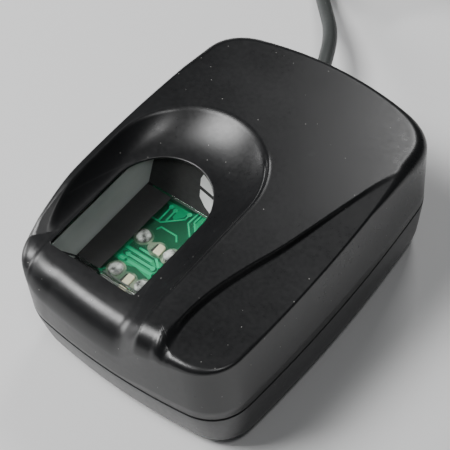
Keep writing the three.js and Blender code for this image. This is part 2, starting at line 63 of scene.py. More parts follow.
# --- USB lead --------------------------------------------------------------------------------
# A round dark grey vinyl cable, 2.8 mm thick and 1.5 m long. It leaves the boot in the back wall,
# falls to the table in a loose bend, and what is left over is wound in a coil behind the reader.
MM = 0.001


def new_group(name, inputs, outputs):
    """An empty shader node group with float sockets, and its two end nodes."""
    group = bpy.data.node_groups.new(name, "ShaderNodeTree")
    for label, value in inputs.items():
        socket = group.interface.new_socket(label, in_out="INPUT", socket_type="NodeSocketFloat")
        socket.default_value = value
    for label in outputs:
        group.interface.new_socket(label, in_out="OUTPUT", socket_type="NodeSocketFloat")
    return group, group.nodes.new("NodeGroupInput"), group.nodes.new("NodeGroupOutput")


def make_grain():
    """Fine moulded grain: a height of two sizes of noise in object space, from 0 to 1."""
    group, start, end = new_group("moulded_grain", {"Scale": 900.0, "Coarse": 0.35,
                                                    "Patch Scale": 70.0}, ["Height", "Patch"])
    links = group.links.new
    where = group.nodes.new("ShaderNodeTexCoord")
    fine = group.nodes.new("ShaderNodeTexNoise")
    fine.inputs["Detail"].default_value = 3.0
    links(where.outputs["Object"], fine.inputs["Vector"])
    links(start.outputs["Scale"], fine.inputs["Scale"])
    coarse = group.nodes.new("ShaderNodeTexNoise")
    links(start.outputs["Patch Scale"], coarse.inputs["Scale"])
    coarse.inputs["Detail"].default_value = 2.0
    links(where.outputs["Object"], coarse.inputs["Vector"])
    mix = group.nodes.new("ShaderNodeMix")
    links(start.outputs["Coarse"], mix.inputs["Factor"])
    links(fine.outputs["Fac"], mix.inputs["A"])
    links(coarse.outputs["Fac"], mix.inputs["B"])
    links(mix.outputs["Result"], end.inputs["Height"])
    spread = group.nodes.new("ShaderNodeMapRange")
    spread.inputs["From Min"].default_value = 0.36
    spread.inputs["From Max"].default_value = 0.64
    links(coarse.outputs["Fac"], spread.inputs["Value"])
    links(spread.outputs["Result"], end.inputs["Patch"])
    return group


def make_dust():
    """Scattered specks: small round cells of a Voronoi pattern, kept where a noise is high."""
    group, start, end = new_group("dust_specks", {"Scale": 520.0, "Size": 0.05, "Amount": 0.8},
                                  ["Mask"])
    links = group.links.new
    where = group.nodes.new("ShaderNodeTexCoord")
    cells = group.nodes.new("ShaderNodeTexVoronoi")
    links(where.outputs["Object"], cells.inputs["Vector"])
    links(start.outputs["Scale"], cells.inputs["Scale"])
    small = group.nodes.new("ShaderNodeMath")
    small.operation = "LESS_THAN"
    links(cells.outputs["Distance"], small.inputs[0])
    links(start.outputs["Size"], small.inputs[1])
    chosen = group.nodes.new("ShaderNodeSeparateColor")
    links(cells.outputs["Color"], chosen.inputs["Color"])
    few = group.nodes.new("ShaderNodeMath")
    few.operation = "LESS_THAN"
    links(chosen.outputs["Red"], few.inputs[0])
    links(start.outputs["Amount"], few.inputs[1])
    both = group.nodes.new("ShaderNodeMath")
    both.operation = "MULTIPLY"
    links(small.outputs["Value"], both.inputs[0])
    links(few.outputs["Value"], both.inputs[1])
    links(both.outputs["Value"], end.inputs["Mask"])
    return group


def make_wear():
    """Worn edges: how far Pointiness stands above flat, broken up by a noise, from 0 to 1."""
    group, start, end = new_group("edge_wear", {"Start": 0.52, "Width": 0.1}, ["Mask"])
    links = group.links.new
    bend = group.nodes.new("ShaderNodeNewGeometry")
    above = group.nodes.new("ShaderNodeMath")
    above.operation = "SUBTRACT"
    links(bend.outputs["Pointiness"], above.inputs[0])
    links(start.outputs["Start"], above.inputs[1])
    share = group.nodes.new("ShaderNodeMath")
    share.operation = "DIVIDE"
    share.use_clamp = True
    links(above.outputs["Value"], share.inputs[0])
    links(start.outputs["Width"], share.inputs[1])
    where = group.nodes.new("ShaderNodeTexCoord")
    noise = group.nodes.new("ShaderNodeTexNoise")
    noise.inputs["Scale"].default_value = 400.0
    links(where.outputs["Object"], noise.inputs["Vector"])
    broken = group.nodes.new("ShaderNodeMath")
    broken.operation = "MULTIPLY"
    links(share.outputs["Value"], broken.inputs[0])
    links(noise.outputs["Fac"], broken.inputs[1])
    links(broken.outputs["Value"], end.inputs["Mask"])
    return group


GRAIN, DUST, WEAR = make_grain(), make_dust(), make_wear()


def finish(name, colour, second, roughness, rougher, grain_scale=900.0, bump=0.02, metallic=0.0,
           dust=0.0, dust_colour=(0.45, 0.44, 0.42), wear=0.0, specular=0.5, coarse=0.35,
           patch_scale=70.0):
    """A finish whose colour drifts in patches between two tones, with grain, specks and worn edges."""
    material = bpy.data.materials.new(name)
    material.use_nodes = True
    nodes, link = material.node_tree.nodes, material.node_tree.links.new
    shader = nodes["Principled BSDF"]
    shader.inputs["Metallic"].default_value = metallic
    shader.inputs["Specular IOR Level"].default_value = specular
    grain = nodes.new("ShaderNodeGroup")
    grain.node_tree = GRAIN
    grain.inputs["Scale"].default_value = grain_scale
    grain.inputs["Coarse"].default_value = coarse
    grain.inputs["Patch Scale"].default_value = patch_scale
    tone = nodes.new("ShaderNodeMix")
    tone.data_type = "RGBA"
    tone.inputs["A"].default_value = (*colour, 1.0)
    tone.inputs["B"].default_value = (*second, 1.0)
    link(grain.outputs["Patch"], tone.inputs["Factor"])
    colour_out = tone.outputs["Result"]
    rough = nodes.new("ShaderNodeMapRange")
    rough.inputs["From Min"].default_value = 0.3
    rough.inputs["From Max"].default_value = 0.7
    rough.inputs["To Min"].default_value = roughness
    rough.inputs["To Max"].default_value = rougher
    link(grain.outputs["Height"], rough.inputs["Value"])
    for amount, tree, tint in ((wear, WEAR, [min(1.0, 3.0 * c + 0.03) for c in colour]),
                               (dust, DUST, dust_colour)):
        if amount:
            mask = nodes.new("ShaderNodeGroup")
            mask.node_tree = tree
            strength = nodes.new("ShaderNodeMath")
            strength.operation = "MULTIPLY"
            strength.inputs[1].default_value = amount
            link(mask.outputs["Mask"], strength.inputs[0])
            over = nodes.new("ShaderNodeMix")
            over.data_type = "RGBA"
            over.inputs["B"].default_value = (*tint, 1.0)
            link(strength.outputs["Value"], over.inputs["Factor"])
            link(colour_out, over.inputs["A"])
            colour_out = over.outputs["Result"]
    raised = nodes.new("ShaderNodeBump")
    raised.inputs["Strength"].default_value = 0.6
    raised.inputs["Distance"].default_value = bump * MM
    link(grain.outputs["Height"], raised.inputs["Height"])
    link(raised.outputs["Normal"], shader.inputs["Normal"])
    link(colour_out, shader.inputs["Base Color"])
    link(rough.outputs["Result"], shader.inputs["Roughness"])
    return material


def give(node_name, material):
    """Puts a finish on a CAD node, in every slot."""
    data = bpy.data.objects[node_name].data
    data.materials.clear()
    data.materials.append(material)


def piece(name, points, faces, material, slot, smooth=True, replaces=()):
    """A mesh piece from points in millimetres, riding on the one body."""
    mesh = bpy.data.meshes.new(name)
    points = np.asarray(points, float) * MM
    mesh.from_pydata(points.tolist(), [], [tuple(map(int, f)) for f in faces])
    mesh.materials.append(material)
    mesh.polygons.foreach_set("use_smooth", np.full(len(mesh.polygons), smooth))
    mesh.update()
    thing = bpy.data.objects.new(name, mesh)
    bpy.context.collection.objects.link(thing)
    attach(thing, "root")
    if replaces:
        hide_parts(*replaces)
    return thing


def grid_faces(rows, columns, wrap_rows=False, wrap_columns=True):
    """Quads of a grid of rows by columns, joined round at the ends where asked."""
    i = np.arange(rows if wrap_rows else rows - 1)[:, None]
    j = np.arange(columns if wrap_columns else columns - 1)[None, :]
    a, b = i * columns + j, i * columns + (j + 1) % columns
    c, d = (i + 1) % rows * columns + (j + 1) % columns, (i + 1) % rows * columns + j
    return np.stack([a, b, c, d], axis=-1).reshape(-1, 4)


vinyl = finish("cable_vinyl", (0.040, 0.044, 0.043), (0.056, 0.061, 0.059), 0.42, 0.55,
               grain_scale=1500.0,
               bump=0.01, dust=0.4)
CABLE_RADIUS = 1.4
EXIT = (-10.6, 31.5, 8.2)
COIL_CENTRE = np.array([-28.0, 94.0])
COIL_MIDDLE_RADIUS = 16.8
COIL_LAYERS = 4
COLUMNS = 4
PITCH = 2.95
COIL_START_DEG = 223.0
FIRST_LAYER_Z = 0.85 + CABLE_RADIUS
PLUG_FLOOR_Z = 12.8
PLUG_DEG = COIL_START_DEG - 215.0
ROUTE = [
    (-10.6, 28.5, 8.2), (-10.6, 33.5, 8.2), (-10.6, 37.5, 8.2), (-11.2, 40.4, 8.2), (-12.6, 43.4, 7.9),
    (-14.9, 47.9, 7.0), (-17.0, 51.2, 6.0), (-19.2, 54.0, 4.9), (-22.0, 57.0, 3.7), (-25.6, 60.7, 2.5),
    (-29.6, 64.9, 1.8), (-33.0, 68.4, 1.7),
]
TAIL = [(-17.8, -12.0, 1.6), (-20.4, -7.6, 1.6), (-19.4, -3.2, 1.9), (-15.6, -1.2, 2.6),
        (-10.4, -1.0, 3.2)]


def coil_turns(per_turn=28):
    """The coil's line: in each layer the radius sweeps over the columns in 3 turns, in and out by
    turns, and it climbs one layer in a third of a turn between them; the angle runs clockwise."""
    sweep, climb = COLUMNS - 1.0, 1.0 / 3.0
    total = COIL_LAYERS * sweep + (COIL_LAYERS - 1) * climb
    turn = np.linspace(0.0, total, int(total * per_turn) + 1)
    layer = np.minimum(np.floor(turn / (sweep + climb)), COIL_LAYERS - 1)
    within = turn - layer * (sweep + climb)
    swept = np.minimum(within, sweep) / sweep
    inward = np.where(layer % 2 == 0, swept, 1.0 - swept)
    half = 0.5 * (COLUMNS - 1) * PITCH
    radius = COIL_MIDDLE_RADIUS + half - 2.0 * half * inward
    rise = np.clip((within - sweep) / climb, 0.0, 1.0)
    height = FIRST_LAYER_Z + PITCH * (layer + rise * rise * (3.0 - 2.0 * rise))
    angle = np.radians(COIL_START_DEG) - 2.0 * np.pi * turn
    return np.column_stack([
        COIL_CENTRE[0] + radius * np.cos(angle),
        COIL_CENTRE[1] + radius * np.sin(angle),
        height,
    ])


def from_plug(points):
    """Points given along the plug, turned and moved to where it lies on the coil."""
    points = np.asarray(points, float)
    turn = np.radians(PLUG_DEG)
    x = points[..., 0] * np.cos(turn) - points[..., 1] * np.sin(turn) + COIL_CENTRE[0]
    y = points[..., 0] * np.sin(turn) + points[..., 1] * np.cos(turn) + COIL_CENTRE[1]
    return np.stack([x, y, points[..., 2] + PLUG_FLOOR_Z], axis=-1)


def smooth_line(points, step):
    """A centripetal Catmull-Rom curve through the points, sampled about every step."""
    points = np.asarray(points, float)
    ends = [2 * points[0] - points[1], *points, 2 * points[-1] - points[-2]]
    ends = np.array(ends)
    made = []
    for a, b, c, d in zip(ends[:-3], ends[1:-2], ends[2:-1], ends[3:]):
        knots = np.cumsum([0.0] + [max(np.linalg.norm(q - p), 1e-6) ** 0.5 for p,
                                   q in ((a, b), (b, c), (c, d))])
        count = max(2, int(np.linalg.norm(c - b) / step))
        t = np.linspace(knots[1], knots[2], count, endpoint=False)[:, None]
        ab = ((knots[1] - t) * a + (t - knots[0]) * b) / (knots[1] - knots[0])
        bc = ((knots[2] - t) * b + (t - knots[1]) * c) / (knots[2] - knots[1])
        cd = ((knots[3] - t) * c + (t - knots[2]) * d) / (knots[3] - knots[2])
        abc = ((knots[2] - t) * ab + (t - knots[0]) * bc) / (knots[2] - knots[0])
        bcd = ((knots[3] - t) * bc + (t - knots[1]) * cd) / (knots[3] - knots[1])
        made.append(((knots[2] - t) * abc + (t - knots[1]) * bcd) / (knots[2] - knots[1]))
    return np.vstack([*made, points[-1:]])


coil = coil_turns()
lead_line = np.vstack([smooth_line([*ROUTE, coil[0]], 1.2)[:-1], coil,
                       smooth_line([coil[-1], *from_plug(TAIL)], 1.2)[1:]])


def carried_tube(line, radius, sides, taper=None):
    """Rings of a circle carried along a line without twist: each ring's first direction is the
    last one's with the new tangent taken out of it. The ends are closed by a fan of the ring."""
    tangent = np.gradient(line, axis=0)
    tangent /= np.linalg.norm(tangent, axis=1)[:, None]
    side = np.cross(tangent[0], [0.0, 0.0, 1.0])
    turn = np.arange(sides) * 2.0 * np.pi / sides
    rings = []
    for k, along in enumerate(tangent):
        side = side - along * (side @ along)
        side /= np.linalg.norm(side)
        other = np.cross(along, side)
        r = radius if taper is None else taper[k]
        rings.append(line[k] + r * (np.cos(turn)[:, None] * side + np.sin(turn)[:, None] * other))
    points = np.vstack(rings)
    faces = grid_faces(len(line), sides).tolist()
    faces.append(list(range(sides))[::-1])
    faces.append([len(points) - sides + k for k in range(sides)])
    return points, faces


points, faces = carried_tube(lead_line, CABLE_RADIUS, 12)
lead = piece("usb_lead", points, faces, vinyl, "cable_vinyl",
             replaces=("usb_cable", "cable_coil", "usb_cable_tail"))

# --- Top cover -------------------------------------------------------------------------------
# An injection-moulded black ABS shell: a finger channel with a scooped back and an arched window,
# and a lowered panel at its right behind a long curved step. It drops onto the lower cover.
black_plastic = finish("black_plastic", (0.0070, 0.0072, 0.0078), (0.0098, 0.0100, 0.0107), 0.26, 0.36,
                       grain_scale=1300.0, bump=0.006, dust=0.5, wear=0.25, specular=0.58, coarse=0.5)
TOP, JOINT_GAP_TOP, WALL = 25.4, 11.15, 1.9
FLOOR_Z, FLOOR_X, ARCH_Y, WINDOW_R, WINDOW_FRONT = 22.0, -9.05, -6.5, 8.75, -23.3
CENTRE = np.array([FLOOR_X, -10.5])
STEP_LINE = [(23.5, 24.0), (21.2, 19.0), (19.3, 13.9), (17.9, 9.0), (16.3, 2.7), (14.5, -4.4),
             (12.4, -10.8), (10.9, -16.4),
             (10.2, -21.4), (10.2, -26.6), (10.9, -34.0)]


def housing_outline(side, end, count=40):
    """The housing's outline, set in from its sides and its ends: four bowed edges, each a quadratic
    Bezier curve, and between them corners that are cubic ones along the edges' end directions."""
    x, front, rear = 21.7 - side, end - 30.5, 29.8 - end
    r = 7.0 - 0.6 * max(side, end)
    middle = 0.5 * (front + rear)
    edges = np.array([
        [(-x + r, front), (0.0, front - 2.0), (x - r, front)],
        [(x, front + r), (x + 2.0, middle), (x, rear - r)],
        [(x - r, rear), (0.0, rear + 3.4), (-x + r, rear)],
        [(-x, rear - r), (-x - 2.0, middle), (-x, front + r)],
    ])
    t = np.linspace(0.0, 1.0, count, endpoint=False)[:, None]
    made = []
    for edge, following in zip(edges, np.roll(edges, -1, axis=0)):
        leave, arrive = edge[2] - edge[1], following[1] - following[0]
        a, d = edge[2], following[0]
        b = a + leave / np.linalg.norm(leave) * 0.56 * r
        c = d - arrive / np.linalg.norm(arrive) * 0.56 * r
        made.append((1 - t) ** 2 * edge[0] + 2 * t * (1 - t) * edge[1] + t ** 2 * edge[2])
        made.append((1 - t) ** 3 * a + 3 * t * (1 - t) ** 2 * b + 3 * t ** 2 * (1 - t) * c + t ** 3 * d)
    return np.vstack(made)


def radius_towards(outline, centre, angle):
    """How far an outline is from a centre in each direction, read off between its points."""
    around = np.arctan2(*(outline - centre).T[::-1])
    order = np.argsort(around)
    return np.interp(angle, around[order], np.linalg.norm(outline - centre, axis=1)[order],
                     period=2 * np.pi)


def smoothstep(value):
    """0 below 0, 1 above 1, and 3v^2 - 2v^3 between them."""
    value = np.clip(value, 0.0, 1.0)
    return value * value * (3.0 - 2.0 * value)


def lower_of(a, b, width):
    """The lower of two heights, rounded where they meet within a width."""
    mix = np.clip(0.5 + 0.5 * (b - a) / width, 0.0, 1.0)
    return b + (a - b) * mix - width * mix * (1.0 - mix)


def channel_level(x, y):
    """Where a point lies up the channel's side, from 0 on its floor to 1 on its rim. Each level's
    outline is an arch with two legs, its centre, radius and legs growing evenly with the level, and
    the level is found by halving."""
    low, high = np.zeros_like(x), np.full_like(x, 1.7)
    for _ in range(24):
        mid = 0.5 * (low + high)
        arch_x, arch_y, arch_r = -9.05 + 0.95 * mid, ARCH_Y + 5.0 * mid, WINDOW_R + 4.85 * mid
        along = np.clip((arch_y - y) / (arch_y + 37.5), 0.0, 1.0)
        leg_x = arch_x + (-9.15 + 1.05 * mid - arch_x) * along
        leg_half = arch_r + (10.3 + 3.3 * mid - arch_r) * along
        out = np.where(y > arch_y, np.hypot(x - arch_x, y - arch_y) - arch_r, np.abs(x - leg_x)
                       - leg_half)
        low, high = np.where(out > 0, mid, low), np.where(out > 0, high, mid)
    return 0.5 * (low + high)


step_path = smooth_line([(x, y, 0.0) for x, y in STEP_LINE[::-1]], 0.4)


def top_height(x, y):
    """The cover's top: a slightly crowned plane, cut lower by the channel's sides, by the left rim's
    fall to the front and, right of the step line, by a panel that slopes down to the front."""
    plane = TOP - 0.22 * (x / 21.0) ** 2 - 0.22 * (y / 30.0) ** 2
    level = channel_level(x, y)
    floor = FLOOR_Z - 0.02 * np.maximum(-22.6 - y, 0.0) ** 2
    fall = 25.6 - 0.0098 * np.maximum(-5.0 - y, 0.0) ** 2
    fall = np.maximum(fall - 0.35 * np.maximum(x + 21.6, 0.0) * smoothstep((-6.0 - y) / 14.0), floor)
    fall = fall + 8.0 * smoothstep((x + 18.4) / 2.4)
    step_x = np.interp(y, step_path[:, 1], step_path[:, 0])
    panel = 23.7 + 0.018 * (y + 31.5) + 0.0009 * np.maximum(y + 6.0, 0.0) ** 2 - 0.04 * (x - step_x)
    across = 0.22 + 0.22 * smoothstep((4.0 - y) / 20.0) + 0.5 * smoothstep((-23.0 - y) / 5.0)
    plane = plane + (np.minimum(panel, plane) - plane) * smoothstep(0.5 + (x - step_x) / (2.0 * across))
    sides = floor + 3.4 * level ** 1.8
    height = lower_of(lower_of(plane, fall, 0.4), sides, 0.42)
    bead = smoothstep((x - 0.5) / 3.0) * smoothstep((y + 24.0) / 8.0) * smoothstep((13.0 - y) / 6.0)
    near = (level - 1.0) * 5.8
    return height - bead * (0.17 * np.exp(-(near / 0.14) ** 2)
                            - 0.05 * np.exp(-((near - 0.34) / 0.14) ** 2))


def window_outline(margin):
    """The arched window: a half circle, two legs and a front edge with small rounded corners."""
    radius = WINDOW_R + margin
    front, r = WINDOW_FRONT - margin, 0.7
    bend = np.linspace(0.0, 0.5 * np.pi, 8)
    arch = np.linspace(0.0, np.pi, 120)
    legs = np.linspace(front + r, ARCH_Y, 60)
    return np.vstack([
        np.column_stack([FLOOR_X + radius * np.cos(arch), ARCH_Y + radius * np.sin(arch)]),
        np.column_stack([np.full(60, FLOOR_X - radius), legs[::-1]]),
        np.column_stack([FLOOR_X - radius + r - r * np.cos(bend), front + r - r * np.sin(bend)]),
        np.column_stack([np.linspace(FLOOR_X - radius + r, FLOOR_X + radius - r, 60),
                         np.full(60, front)]),
        np.column_stack([FLOOR_X + radius - r + r * np.sin(bend), front + r - r * np.cos(bend)]),
        np.column_stack([np.full(60, FLOOR_X + radius), legs]),
    ])


# The edge round the top: each row gives a direction by a point, and there the round's radius and
# the wall's draft. Over the front the radius changes with X instead: full over the channel and
# the strip, and small along the panel.
EDGE_ROUNDS = [(0, -32, 4.6, 0.5), (-14, -32, 4.5, 0.4), (-18, -31.5, 3.4, 0.1),
               (-21, -28.5, 1.5, -0.3),
               (-23, -22, 0.8, -0.4), (-23, -12, 0.6, -0.4), (-23, 6, 0.7, -0.3), (-23, 18, 0.9, -0.3),
               (-20, 27, 1.6, -0.1), (-15, 31, 1.6, 0.1), (0, 33, 1.2, 0.2), (14, 31.5, 1.3, 0.1),
               (20, 28, 2.0, -0.1),
               (23, 22, 2.2, -0.1), (23, 17, 1.3, 0.2), (23, 10, 0.5, 0.7), (23, 0, 0.4, 0.8),
               (23, -16, 0.45, 0.8),
               (19, -28, 0.8, 0.8), (13, -31, 1.4, 0.6), (8, -32, 4.2, 0.5)]
FRONT_ROUNDS = [(-23, 0.8), (-20.5, 1.5), (-17.5, 3.4), (-13, 4.5), (2.6, 4.6), (4.6, 4.0),
                (8.8, 4.0), (11.6, 1.7), (14, 1.4),
                (18, 0.9), (21, 0.5)]


def top_cover_grid(columns=660, rows=92):
    """A closed ring of a skin over polar columns round the window: up out of the window, over the
    top to the edge, down the drafted wall, and back inside under the ceiling. Along each column the
    rows crowd where the top's height bends."""
    angle = np.linspace(-np.pi, np.pi, columns, endpoint=False)
    insets = np.linspace(-1.0, 8.0, 37)
    table = np.array([radius_towards(housing_outline(i, i), CENTRE, angle) for i in insets])
    column = np.arange(columns)

    def out_to(inset):
        """The radius of each column at its own inset, between the table's rows."""
        place = np.clip((inset + 1.0) / 0.25, 0.0, 35.999)
        k = place.astype(int)
        return table[k, column] + (place - k) * (table[k + 1, column] - table[k, column])

    def at(radius):
        """The points at a radius in each column's direction."""
        return CENTRE[0] + radius * np.cos(angle), CENTRE[1] + radius * np.sin(angle)

    anchors = np.array(EDGE_ROUNDS)
    seen_at = np.arctan2(anchors[:, 1] - CENTRE[1], anchors[:, 0] - CENTRE[0])
    order = np.argsort(seen_at)
    edge_round, draft = (np.interp(angle, seen_at[order], anchors[order, k], period=2 * np.pi)
                         for k in (2, 3))
    window = radius_towards(window_outline(0.0), CENTRE, angle)

    def round_at(radius):
        """The edge's radius at a place: by X over the front, by direction elsewhere."""
        x, y = at(radius)
        in_front = smoothstep((-20.0 - y) / 5.0)
        return edge_round + in_front * (np.interp(x, *np.array(FRONT_ROUNDS).T) - edge_round)

    start = edge_round
    for _ in range(6):
        start = 0.5 * (start + round_at(out_to(draft + start)))
    shoulder = top_height(*at(out_to(draft + start))) - start
    wall_inset = draft * (shoulder - JOINT_GAP_TOP) / 12.05
    last = out_to(wall_inset + start)
    share = np.linspace(0.0, 1.0, 420)[:, None]
    first = window + 0.22
    radii = first + (last - first) * share
    height = top_height(*at(radii))
    bend = np.abs(np.gradient(np.gradient(height, axis=0), axis=0)) / ((last - first) / 419.0) ** 2
    weight = 1.0 + 7.0 * np.clip(bend / 0.7, 0.0, 1.0)
    weight = sum(np.roll(weight, k, axis=1) for k in range(-7, 8)) / 15.0
    weight = np.apply_along_axis(lambda w: np.convolve(np.pad(w, 6, "edge"), np.ones(13) / 13,
                                                       "valid"), 0, weight)
    total = np.cumsum(weight, axis=0)
    total = (total - total[0]) / (total[-1] - total[0])
    wanted = np.linspace(0.0, 1.0, rows)
    share = np.array([np.interp(wanted, total[:, k], share[:, 0]) for k in range(columns)]).T
    made = []

    def add(radius, z):
        """Puts one more row on the ring."""
        x, y = at(radius)
        made.append(np.stack([x, y, np.broadcast_to(z, x.shape)], axis=-1))

    lip_bottom = 21.62
    add(window, lip_bottom)
    add(window, FLOOR_Z - 0.22)
    add(window + 0.06, FLOOR_Z - 0.07)
    for k in range(rows):
        radius = first + (last - first) * share[k]
        add(radius, top_height(*at(radius)))
    for turn in np.linspace(0.0, 0.5 * np.pi, 23)[1:]:
        local = start
        for _ in range(4):
            local = 0.5 * (local + round_at(out_to(wall_inset + local * (1.0 - np.sin(turn)))))
        local = start + (local - start) * min(1.0, turn / 0.25)
        radius = out_to(wall_inset + local * (1.0 - np.sin(turn)))
        add(radius, top_height(*at(radius)) - local * (1.0 - np.cos(turn)))
    corner = made[-1][:, 2]
    for down in np.linspace(0.0, 1.0, 7)[1:]:
        z = corner + (JOINT_GAP_TOP + 0.12 - corner) * down
        add(out_to(draft * np.maximum(z - JOINT_GAP_TOP, 0.0) / 12.05), z)
    add(out_to(np.full(columns, 0.12)), JOINT_GAP_TOP)
    add(out_to(np.full(columns, WALL)), JOINT_GAP_TOP)
    inner = out_to(np.maximum(wall_inset + start * 0.4, 0.8) + WALL)
    ceiling = top_height(*at(inner)) - start * 0.3 - WALL
    add(inner, ceiling - 1.0)
    box = np.array([[-18.3, -24.6], [0.25, 4.4]])
    cos, sin = (np.where(np.abs(v) < 1e-9, 1e-9, v) for v in (np.cos(angle), np.sin(angle)))
    reach_x = np.where(cos > 0, box[1, 0] - CENTRE[0], box[0, 0] - CENTRE[0]) / cos
    reach_y = np.where(sin > 0, box[1, 1] - CENTRE[1], box[0, 1] - CENTRE[1]) / sin
    under = np.maximum(np.minimum(np.abs(reach_x), np.abs(reach_y)), window + 0.2)
    for share_in in np.linspace(1.0, 0.0, 12):
        radius = under + 0.4 + (inner - 0.4 - under) * share_in
        add(radius, np.minimum(top_height(*at(radius)) - WALL, ceiling))
    add(under, lip_bottom)
    return np.array(made)


grid = top_cover_grid()
rows, columns = grid.shape[:2]
piece("top_cover_skin", grid.reshape(-1, 3), grid_faces(rows, columns, wrap_rows=True)[:, ::-1],
      black_plastic, "black_plastic", replaces=("top_cover",))

# --- Lower cover -----------------------------------------------------------------------------
# The tray that carries the boards: the same black ABS, drawn in towards its rounded lower edge,
# with pockets in its underside for the feet, the screws and the rating plate.
# Painted light: the same black ABS as the top cover, its colour painted a shade lighter for the pale
# table that the lower cover reflects.
lower_plastic = finish("lower_black_plastic", (0.0100, 0.0102, 0.0112), (0.0130, 0.0132, 0.0142),
                       0.30, 0.40,
                       grain_scale=1300.0, bump=0.008, dust=0.5, wear=0.25, coarse=0.5)
TRAY_PROFILE = np.array([
    # side, end, z: from the joint down to the underside
    (0.14, 0.14, 10.85), (0.0, 0.0, 10.71), (0.02, 0.05, 10.2), (0.10, 0.25, 9.0),
                         (0.25, 0.65, 7.0), (0.42, 1.05, 5.0),
    (0.58, 1.40, 3.4), (0.72, 1.60, 2.6), (1.00, 1.88, 2.0), (1.40, 2.30, 1.5), (1.95, 2.85, 1.15),
                         (2.6, 3.5, 1.0),
    (3.3, 4.2, 1.0), (6.0, 7.5, 1.0),
])


def ring_stack(profile, count):
    """Level rings of the housing's outline, one for each side inset, end inset and height."""
    rings = []
    for side, end, z in profile:
        flat = housing_outline(side, end, count)
        rings.append(np.column_stack([flat, np.full(len(flat), z)]))
    return np.array(rings)


outside = ring_stack(TRAY_PROFILE, 20)
inside = ring_stack([(5.0, 6.5, 3.0), (WALL + 1.2, WALL + 2.4, 3.0), (WALL + 0.4, WALL + 1.2, 7.0),
                     (WALL, WALL, 10.85)], 20)
skin = np.concatenate([outside, inside])
shell_points = skin.reshape(-1, 3)
count = skin.shape[1]
shell_faces = grid_faces(len(outside), count)[:, ::-1].tolist()
shell_faces += (grid_faces(len(inside), count)[:, ::-1] + len(outside) * count).tolist()
shell_faces += [[j, (j + 1) % count, (len(skin) - 1) * count + (j + 1) % count,
                 (len(skin) - 1) * count + j] for j in range(count)]
shell_faces += [[(len(outside) - 1) * count + j for j in range(count)][::-1],
                [len(outside) * count + j for j in range(count)]]
lower_cover = piece("lower_cover_tray", shell_points, shell_faces, lower_plastic, "black_plastic",
                    replaces=("bottom_cover",))

# --- Prism -----------------------------------------------------------------------------------
# A block of optical glass under the window, flat on top, with two slanted ends. Its left side and
# its bottom edges are ground. Black sheets just inside its back end and over its bottom under its
# left part are painted shade, for the dark of the shaded housing that the glass shows there, and two
# white patches inside the back end at its right are a painted reflection of bright light mirrored
# inside the glass.
glass = bpy.data.materials.new("optical_glass")
glass.use_nodes = True
glass_nodes, glass_link = glass.node_tree.nodes, glass.node_tree.links.new
clear = glass_nodes["Principled BSDF"]
clear.inputs["Base Color"].default_value = (0.93, 0.97, 0.95, 1.0)
clear.inputs["Transmission Weight"].default_value = 1.0
clear.inputs["IOR"].default_value = 1.52
smears = glass_nodes.new("ShaderNodeGroup")
smears.node_tree = GRAIN
smears.inputs["Scale"].default_value = 160.0
smear_range = glass_nodes.new("ShaderNodeMapRange")
smear_range.inputs["From Min"].default_value = 0.45
smear_range.inputs["From Max"].default_value = 0.75
smear_range.inputs["To Min"].default_value = 0.0
smear_range.inputs["To Max"].default_value = 0.05
glass_link(smears.outputs["Height"], smear_range.inputs["Value"])
glass_link(smear_range.outputs["Result"], clear.inputs["Roughness"])
shadow_ray = glass_nodes.new("ShaderNodeLightPath")
let_light = glass_nodes.new("ShaderNodeBsdfTransparent")
either = glass_nodes.new("ShaderNodeMixShader")
glass_link(shadow_ray.outputs["Is Shadow Ray"], either.inputs["Fac"])
glass_link(clear.outputs["BSDF"], either.inputs[1])
glass_link(let_light.outputs["BSDF"], either.inputs[2])
glass_link(either.outputs["Shader"], glass_nodes["Material Output"].inputs["Surface"])
PRISM_X = (-17.95, -0.15)
PRISM_SIDE = [(-24.2, 21.3), (-18.8, 7.3), (0.0, 7.3), (4.0, 21.3)]


def plate(outline, towards, thickness):
    """A flat plate: the outline's points in space, and the same moved by a thickness."""
    outline = np.asarray(outline, float)
    n = len(outline)
    shift = np.asarray(towards, float) / np.linalg.norm(towards) * thickness
    area = sum(np.cross(a, b) for a, b in zip(outline, np.roll(outline, -1, axis=0)))
    front, rear = list(range(n)), list(range(n, 2 * n))
    faces = [front[::-1], rear] + [[j, (j + 1) % n, n + (j + 1) % n, n + j] for j in range(n)]
    if area @ shift < 0:
        faces = [f[::-1] for f in faces]
    return np.vstack([outline, outline + shift]), faces


def joined(parts):
    """Several point and face lists as one."""
    points, faces, start = [], [], 0
    for p, f in parts:
        points.append(np.asarray(p, float))
        faces += [[int(i) + start for i in face] for face in f]
        start += len(p)
    return np.vstack(points), faces


def bevelled(thing, width, segments=2):
    """Rounds a piece's edges by a width in millimetres."""
    bevel = thing.modifiers.new("rounded edges", "BEVEL")
    bevel.width = width * MM
    bevel.segments = segments
    bevel.limit_method = "ANGLE"
    bevel.harden_normals = False
    return thing


points, faces = plate([(PRISM_X[0], y, z) for y, z in PRISM_SIDE], (1, 0, 0), PRISM_X[1] - PRISM_X[0])
bevelled(piece("prism_glass", points, faces, glass, "optical_glass", smooth=False,
               replaces=("prism",)), 0.08)

